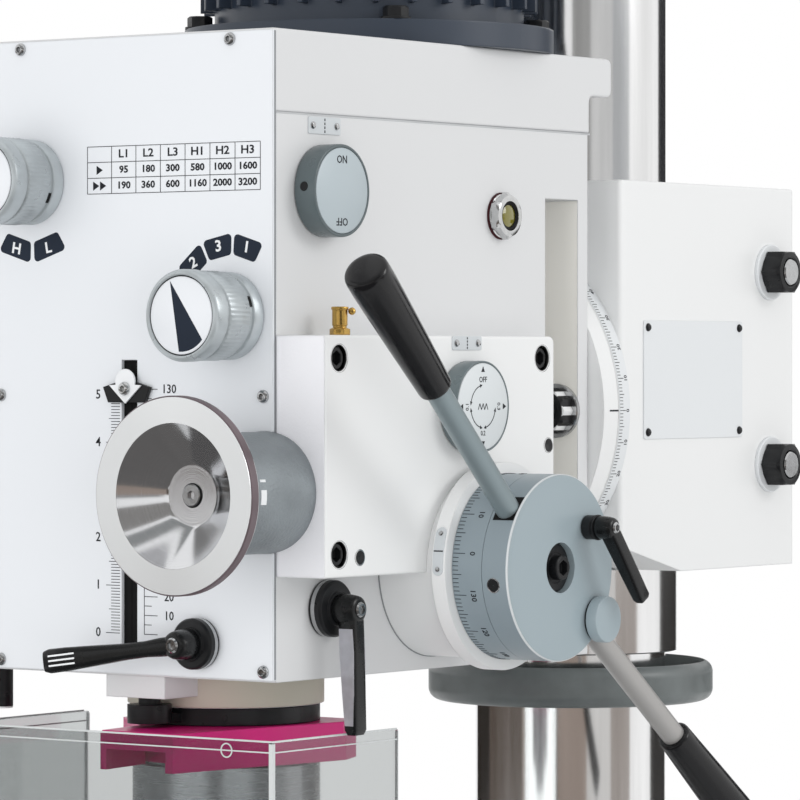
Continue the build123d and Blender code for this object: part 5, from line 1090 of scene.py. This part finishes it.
def buildHandwheel(tag, node, seat, handleAngle, dialLow, dialHigh, dialRadius):
    rim, thick, hub, long, tall = pick(handLook, "rim halfRim hub hubLong handle")
    bm = bmesh.new()
    ring = []
    for step in range(20):
        angle = 2 * math.pi * step / 20
        across, rise = (thick * squared(way(angle), 0.8) for way in (math.cos, math.sin))
        ring.append((rim + across, thick + rise))
    addLathe(bm, ring, 96, closed=True)
    hubLine = [(0, 0.2), (hub, 0.2), (hub, 14), (hub - 3, long - 3), (hub - 6, long), (0, long)]
    addLathe(bm, softened(hubLine, 2), 60)
    spoke = [(15, -9), (32, -6.6), (49, -8.5), (49, 8.5), (32, 6.6), (15, 9)]
    for third in range(3):
        addPrism(bm, spoke, 4.4, 11.6, spot(0, 0, 0, handleAngle + 60 + 120 * third))
    makePiece(bm, tag + "Rim", "bright", seat, node, bevel=1.2, sharp=30)
    nut = [(0, long), (9, long), (9, long + 1.2), (("hex", 7), long + 1.2), (("hex", 7), long + 5.6),
           (6.8, long + 6.6), (0, long + 6.6)]
    turnedPiece(tag + "Nut", "black", seat, nut, 36)
    dial = softened(rectangle(9, dialRadius, dialLow, dialHigh), 0.8)
    turnedPiece(tag + "Dial", "steel", seat, dial, 90, closed=True)
    bm = bmesh.new()
    for tick in range(handLook["divisions"]):
        angle = 360 * tick / handLook["divisions"]
        addRimBar(bm, dialRadius, angle, 0.4, dialLow + 1, dialLow + (4.6 if tick % 5 == 0 else 3.0))
    makePiece(bm, tag + "DialMarks", "ink", seat)
    handleAt = spot(0, 0, 0, handleAngle) @ Matrix.Translation((rim, 0, 16))
    grip = [(6.4, 6), (8.6, 10), (9.6, 24), (9.9, 42), (9.4, 56), (7.6, 66), (3.6, tall - 0.3), (0, tall)]
    turnedPiece(tag + "Handle", "blackPlastic", seat, curveThrough(grip, 4), 36, handleAt, sharp=60)
    foot = [(0, -0.4), (7.4, -0.4), (7.4, 1.4), (5.4, 2), (5.4, 6), (0, 6.4)]
    turnedPiece(tag + "HandleFoot", "steel", seat, foot, 36, handleAt)


tableY, screwZ = -147.5, 764.0
for side, x, handleAngle in (("right", 403, 0), ("left", -403, 180)):
    seat = onFloor(side, x, tableY, screwZ, "x_wheels")
    buildHandwheel(side + "Wheel", "x_handwheels", seat, handleAngle, -9.2, -0.6, 24.5)
buildHandwheel("frontWheel", "y_handwheel", onFloor("front", 0, -384, 674, "y_wheel"), 90, -26, -4, 27)
lockLow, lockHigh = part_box("table_lock_lever")
lockAt = Matrix.Translation((90 * mm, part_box("saddle")[0].y, (lockHigh.z + lockLow.z) / 2))
lockSeat = ("table_lock", lockAt @ basis((1, 0, -0.25), (0, -1, 0)))
buildLever("tableLock", "table_lock_lever", lockSeat, 10.1, 6.6, 16, 54.6, 12, 12, sweptShape)
print("table controls made")

# Cross table: front scale, screws of the end brackets, gib screws and the front screw bracket
tableLook = {"front": -252.5, "scaleZ": 826.0, "scaleLong": 600, "scaleHigh": 14.0, "step": 5}
scaleSeat = onFloor("front", 0, tableLook["front"], tableLook["scaleZ"], "table")
strip = roundedRect(tableLook["scaleLong"] + 16, tableLook["scaleHigh"], 1.5)
platePiece("tableScale", "plate", scaleSeat, strip, -0.3, 0.8, bevel=0.2)
bm = bmesh.new()
for tick in range(-60, 61):
    along = tick * tableLook["step"]
    long = 7.0 if tick % 10 == 0 else 5.0 if tick % 2 == 0 else 3.4
    addBar(bm, along, -6.6 + long / 2, 0.5, long, 0.78, 0.92)
    if tick % 10 == 0:
        addText(bm, str(abs(along)), 5.0, along, 4.0, at=spot(0, 0, 0.8))
makePiece(bm, "tableScaleMarks", "ink", scaleSeat)
bracketSeat = onFloor("right", 0, 0, 0, "table")
places = [within(bracketSeat, onFloor(side, x, tableY + along, 788))
          for side, x in (("right", 393), ("left", -393)) for along in (-28, 28)]
fastenerPiece("bracketScrews", "black", bracketSeat, addSocketScrew, (5.6, 5.2), places)
bm = bmesh.new()
for along in (-66, 0, 66):
    addHexBolt(bm, 11, 4, 1.2, spot(along, 0))
    addSocketScrew(bm, 3.6, 5, spot(along, 0, 5))
makePiece(bm, "gibScrews", "black", onFloor("right", 130, tableY, 690, "saddle"), sharp=28)
frontSeat, places = onFloor("front", 0, -338, 676), [spot(-38, 0), spot(38, 0)]
fastenerPiece("frontBracketScrews", "black", frontSeat, addSocketScrew, (5.6, 5.2), places)

# Bolts of the base and of the column flange
boltLook = {"baseX": 180.0, "baseZ": 628.0, "baseY": (-250, -85, 85, 250), "flangeZ": 728.0, "flangeR": 95.0}
bm = bmesh.new()
for side in (-1, 1):
    for y in boltLook["baseY"]:
        addHexBolt(bm, 13, 6, 1.6, spot(side * boltLook["baseX"], y, boltLook["baseZ"]))
for angle in (45, 135, 225, 315):
    x, y = polar(boltLook["flangeR"], angle)
    addHexBolt(bm, 22, 12, 2.6, spot(x, columnLook["y"] + y, boltLook["flangeZ"], angle))
makePiece(bm, "baseBolts", "black", onFloor("top", 0, 0, 0), sharp=28)

# Stand: louvred vents in both sides and the lock of the door
standLook = {"side": 230.0, "ventLow": 240.0, "vents": 7, "pitch": 26.0, "long": 190.0, "lockX": 140.0,
             "lockZ": 420.0, "door": -320.5}
hoodFaces = ((0, 1, 2, 3), (0, 3, 4), (1, 5, 2), (6, 9, 8, 7), (6, 10, 9), (7, 8, 11),
             (3, 2, 8, 9), (4, 3, 9, 10), (2, 5, 11, 8), (0, 4, 10, 6), (5, 1, 7, 11), (1, 0, 6, 7))
standSide = onFloor("right", 0, 0, 0)
far = standLook["long"] / 2
ventBm, gapShadeBm = bmesh.new(), bmesh.new()
for side, x in (("right", standLook["side"]), ("left", -standLook["side"])):
    base = within(standSide, onFloor(side, x, 0, 0))
    for row in range(standLook["vents"]):
        z = standLook["ventLow"] + row * standLook["pitch"]
        hood = [(-far, z + 12, 0), (far, z + 12, 0), (far - 7, z, 6), (-far + 7, z, 6), (-far, z, 0),
                (far, z, 0), (2 - far, z + 10.4, 0), (far - 2, z + 10.4, 0), (far - 8, z, 4.8),
                (8 - far, z, 4.8), (2 - far, z, 0), (far - 2, z, 0)]  # outer sheet, then inner
        corners = [ventBm.verts.new(base @ Vector(point)) for point in hood]
        for face in hoodFaces:
            ventBm.faces.new([corners[index] for index in face])
        # painted shade: a dark strip under each hood for the unlit opening behind it
        addBar(gapShadeBm, 0, z + 2.4, standLook["long"] - 6, 4.4, 0.02, 0.3, at=base)
makePiece(ventBm, "standVents", "stand", standSide, sharp=30)
makePiece(gapShadeBm, "standVentGaps", "rubber", standSide)
doorSeat = onFloor("front", standLook["lockX"], standLook["door"], standLook["lockZ"], "door")
lock = softened([(0, 0.02), (13, 0.02), (13, 2.4), (10.4, 3.4), (10.4, 5.2), (0, 5.2)], 1.0)
turnedPiece("doorLock", "bright", doorSeat, lock)
bm = bmesh.new()
addBar(bm, 0, 0, 1.8, 8.4, 5.1, 5.35)
makePiece(bm, "doorLockSlot", "black", doorSeat)
print("stand, base and table dressed")

# Lift crank: forged arm, bolt and a turning black grip
crankLook = {"face": -112.3, "y": 218.0, "z": 1373.1, "reach": 110.0}
crankSeat = onFloor("left", crankLook["face"], crankLook["y"], crankLook["z"], "crank")
reach = crankLook["reach"]
bm = bmesh.new()
addLathe(bm, softened(rectangle(0, 15, 0.1, 20), 2))
arm = [(-10.5, 0), (-8.6, -reach * 0.5), (-8.3, -reach), (8.3, -reach), (8.6, -reach * 0.5), (10.5, 0)]
addPrism(bm, arm, 4, 16)
addLathe(bm, softened(rectangle(0, 12, 4, 16), 1.5), 48, spot(0, -reach))
makePiece(bm, "crankArm", "black", crankSeat, "lift_crank", bevel=1.2, sharp=30)
fastenerPiece("crankBolt", "bright", crankSeat, addHexBolt, (15, 6, 1.8), [spot(0, 0, 20)], sharp=28)
grip = [(8.4, 17), (11, 22), (12.4, 45), (13, 72), (12.2, 92), (10, 103), (5, 107.6), (0, 108)]
turnedPiece("crankGrip", "blackPlastic", crankSeat, curveThrough(grip, 4), 40, spot(0, -reach), sharp=60)

# Motor: flange bolts, fan cover screws and the lid of the terminal box
motorLook = {"y": 132.0, "z": 341.0, "boltR": 97.0, "fanR": 97.0, "fanZ": 217.0,
             "boxX": -158.0, "boxZ": 446.0}
bm = bmesh.new()
for angle in (45, 135, 225, 315):
    addHexBolt(bm, 12.5, 6, 1.4, spot(*polar(motorLook["boltR"], angle), 14))
    addButtonScrew(bm, 3.2, rimSpot(motorLook["fanR"], angle, motorLook["fanZ"]))
motorSeat = onHead("top", 0, motorLook["y"], motorLook["z"])
makePiece(bm, "motorBolts", "black", motorSeat, sharp=28, slotName="chromed")
lidSeat = onHead("left", motorLook["boxX"], motorLook["y"], motorLook["boxZ"])
platePiece("terminalLid", "navy", lidSeat, roundedRect(94, 88, 7), 0.02, 3.0, bevel=0.8)
fastenerPiece("terminalScrews", "bright", lidSeat, addButtonScrew, (3.4,), fourSpots(39, 36, 3))

# Cover screws, spring cap screws and the control box with its bezels and marks
sunk = [(6, 0), (6, 0.25), (5.4, 0.35), (("hex", 2.6), 0.35), (("hex", 2.5), 0.1), (0, 0.1)]
places = [spot(x, y, coverLook["top"]) for x in (-84, 84) for y in (-68, 56, 201)]
fastenerPiece("coverScrews", "black", headTop, addLathe, (sunk, 30), places)
places = [spot(*polar(29, angle)) for angle in (90, 210, 330)]
fastenerPiece("springCapScrews", "bright", onHead("left", -122, 60, 57), addButtonScrew, (4,), places)
controlLook = {"x": -122.0, "front": -60.0, "start": 238.0, "stop": 182.0, "side": -148.0}
bm = bmesh.new()
for tag, inner, outer in (("start", 12, 15.5), ("stop", 19, 23)):
    ring = softened([(inner, 0.02), (outer, 0.02), (outer, 2.2), (inner + 0.8, 3.4), (inner, 3.4)], 0.5)
    addLathe(bm, ring, 60, spot(controlLook["x"], controlLook[tag]), True)
makePiece(bm, "buttonBezels", "leverPlastic", onHead("front", 0, controlLook["front"], 0))
for tag, level, mark in (("start", 10.3, "I"), ("stop", 16.3, "O")):
    seat = onHead("front", controlLook["x"], controlLook["front"], controlLook[tag], tag + "_button")
    bm = bmesh.new()
    addText(bm, mark, 9, 0, 0, 0, 0.15, spot(0, 0, level))
    makePiece(bm, tag + "Mark", "whiteInk", seat)
lidSeat = onHead("left", controlLook["side"], -12, 205)
platePiece("controlLid", "panel", lidSeat, roundedRect(84, 116, 4), 0.02, 1.6, bevel=0.5)
fastenerPiece("controlLidScrews", "bright", lidSeat, addButtonScrew, (3.2,), fourSpots(36, 52, 1.6))
rod = [(0, -24.1), (5.2, -24.1), (6.15, -23), (6.15, 134), (9, 134.4), (9, 139.9), (0, 139.9)]
turnedPiece("guardSwitchRod", "black", onHead("top", -118, -50, 0), rod, 40)
print("motor and controls dressed")

# Camera at the photograph's angle; focal length and horizon are in pixels of its frame
camLook = {"azimuth": 36.0, "away": 2514.0, "aside": 95.1, "rise": 168.0, "focal": 4600.0, "horizon": 360.0,
           "frame": 800, "sensor": 36}
turn = math.radians(camLook["azimuth"])
camera = bpy.data.objects.new("photoCamera", bpy.data.cameras.new("photoCamera"))
scene.collection.objects.link(camera)
camera.location = Vector((0, headY, headZ)) + mm * (
    camLook["away"] * Vector((math.sin(turn), -math.cos(turn), 0))
    + camLook["aside"] * Vector((math.cos(turn), math.sin(turn), 0)) + Vector((0, 0, camLook["rise"])))
camera.rotation_euler = (math.pi / 2, 0, turn)
camera.data.sensor_width = camLook["sensor"]
camera.data.lens = camLook["focal"] / camLook["frame"] * camLook["sensor"]
camera.data.shift_y = -(camLook["frame"] / 2 - camLook["horizon"]) / camLook["frame"]
camera.data.clip_end = 50
scene.camera = camera

# White world at full strength for camera, glossy and transmitted rays, dimmer as diffuse light
scene.view_settings.view_transform = "Standard"
world = bpy.data.worlds.new("studio")
scene.world = world
world.use_nodes = True
tree = world.node_tree
tree.nodes.clear()
path = addNode(tree, "LightPath")
either = addNode(tree, "Math", operation="MAXIMUM")
seen = addNode(tree, "Math", operation="MAXIMUM")
ambient = addNode(tree, "Background", {"Color": (1, 1, 1, 1), "Strength": 0.67})
backdrop = addNode(tree, "Background", {"Color": (1, 1, 1, 1), "Strength": 1.0})
mixer = addNode(tree, "MixShader")
out = addNode(tree, "OutputWorld")
tree.links.new(path.outputs["Is Glossy Ray"], either.inputs[0])
tree.links.new(path.outputs["Is Transmission Ray"], either.inputs[1])
tree.links.new(path.outputs["Is Camera Ray"], seen.inputs[0])
tree.links.new(either.outputs["Value"], seen.inputs[1])
tree.links.new(seen.outputs["Value"], mixer.inputs["Fac"])
tree.links.new(ambient.outputs["Background"], mixer.inputs[1])
tree.links.new(backdrop.outputs["Background"], mixer.inputs[2])
tree.links.new(mixer.outputs["Shader"], out.inputs["Surface"])

# Soft lamps: key from the right and a little behind, broad ones in front and beside, one from above
lampLook = {"key": ((2.7, 0.9, 2.6), 1.3, 22), "front": ((-0.4, -3.9, 1.3), 3.2, 50),
            "side": ((2.9, -2.2, 1.2), 2.4, 27), "top": ((0.0, -0.4, 3.8), 2.0, 4)}
for tag, (at, size, power) in lampLook.items():
    lamp = bpy.data.objects.new(tag + "Lamp", bpy.data.lights.new(tag + "Lamp", "AREA"))
    scene.collection.objects.link(lamp)
    lamp.data.size = size
    lamp.data.energy = power
    lamp.location = at
    lamp.visible_glossy = tag == "key"  # the cards stand for the others in polished metal
    aim = Vector((0, headY + 0.1, headZ + 0.1)) - Vector(at)
    lamp.rotation_euler = aim.to_track_quat("-Z", "Y").to_euler()

# Cards seen only in polished metal: centre with reach, elevations, bearings from the front with tints
columnCards, bellCards = ((0.0, 0.19, 1.31), 4.6), ((0.09, -0.23, 1.31), 5.4)
cardRows = [
    (columnCards, 1.5, 11, [(36, 58, (164, 164, 163)), (58, 86, (212, 212, 212)), (86, 109, (186, 188, 190)),
                            (167, 216, (56, 56, 58))]),
    (columnCards, -10, -1.5, [(-121, -81, (40, 35, 31)), (-81, -26, (86, 75, 67)),
                              (-26, -10, (164, 155, 146)), (-10, 19, (92, 79, 70)),
                              (19, 53, (160, 146, 137)), (53, 83, (218, 216, 214)),
                              (83, 110, (160, 151, 145)), (146, 195, (52, 50, 49))]),
    (bellCards, -17, -10, [(15, 65, (112, 110, 108))]),
    (bellCards, -1.8, 1.8, [(25, 62, (150, 150, 150))]),
    (bellCards, 11, 34, [(-30, 75, (146, 144, 142))]),
    (bellCards, 38, 49, [(-60, 60, (150, 152, 152))]),
    (bellCards, 53, 60, [(-90, 60, (186, 186, 188))]),
]
points, faces, tints = [], [], []
for (centre, reach), low, high, sweeps in cardRows:
    for start, end, tint in sweeps:
        steps = max(2, (end - start) // 4)
        for step in range(steps + 1):
            bearing = math.radians(start + (end - start) * step / steps)
            for lift in (math.radians(low), math.radians(high)):
                level = math.cos(lift)
                way = (level * math.sin(bearing), -level * math.cos(bearing), math.sin(lift))
                points.append(Vector(centre) + reach * Vector(way))
            if step:
                last = len(points)
                faces.append((last - 4, last - 2, last - 1, last - 3))
                tints.append(tint)
first = len(points)
points += [(x, y, 0.01) for x, y in rectangle(-2.0, 3.6, -5.2, -0.55)]  # card on the floor
faces.append(range(first, first + 4))
tints.append((106, 104, 103))
cardMesh = bpy.data.meshes.new("studioCards")
cardMesh.from_pydata(points, [], faces)
shades = sorted(set(tints))
for index, tint in enumerate(shades):
    cloth, tree, shader = blankFinish("cardCloth" + str(index), 0.0, 1.0, 0.0)
    color = tone(*tint)
    colorFrom(tree, noiseOf(tree, 2, 2), shade(color, 0.9), color, shader.inputs["Emission Color"])
    shader.inputs["Emission Strength"].default_value = 1.0
    shader.inputs["Base Color"].default_value = (0, 0, 0, 1)
    cardMesh.materials.append(cloth)
for polygon, tint in zip(cardMesh.polygons, tints):
    polygon.material_index = shades.index(tint)
cards = bpy.data.objects.new("studioCards", cardMesh)
scene.collection.objects.link(cards)
cards.visible_camera = cards.visible_diffuse = cards.visible_transmission = cards.visible_shadow = False

# Pale floor that fades into the white behind it
floorLook = {"reach": 2.6, "fadeStart": 1.1, "fadeEnd": 2.5, "sides": 120}
floorMesh = bpy.data.meshes.new("studioFloor")
sides = range(floorLook["sides"])
rimPoints = [(*polar(floorLook["reach"], 360 / len(sides) * side), 0) for side in sides]
floorMesh.from_pydata(rimPoints, [], [sides])
floorPaint = paintFinish("floorPaint", tone(228, 229, 230), 0.6, 0.02)
tree = floorPaint.node_tree
shader = tree.nodes["Principled BSDF"]
shader.inputs["Specular IOR Level"].default_value = 0.0  # the cards must not show on it
coords = addNode(tree, "TexCoord")
reach = addNode(tree, "VectorMath", operation="LENGTH")
fade = addNode(tree, "MapRange", interpolation_type="SMOOTHSTEP")
fade.inputs["From Min"].default_value = floorLook["fadeStart"]
fade.inputs["From Max"].default_value = floorLook["fadeEnd"]
away = addNode(tree, "BsdfTransparent")
mixer = addNode(tree, "MixShader")
tree.links.new(coords.outputs["Object"], reach.inputs[0])
tree.links.new(reach.outputs["Value"], fade.inputs["Value"])
tree.links.new(fade.outputs["Result"], mixer.inputs["Fac"])
tree.links.new(shader.outputs["BSDF"], mixer.inputs[1])
tree.links.new(away.outputs["BSDF"], mixer.inputs[2])
tree.links.new(mixer.outputs["Shader"], tree.nodes["Material Output"].inputs["Surface"])
floorMesh.materials.append(floorPaint)
floor = bpy.data.objects.new("studioFloor", floorMesh)
scene.collection.objects.link(floor)
print("stage set")
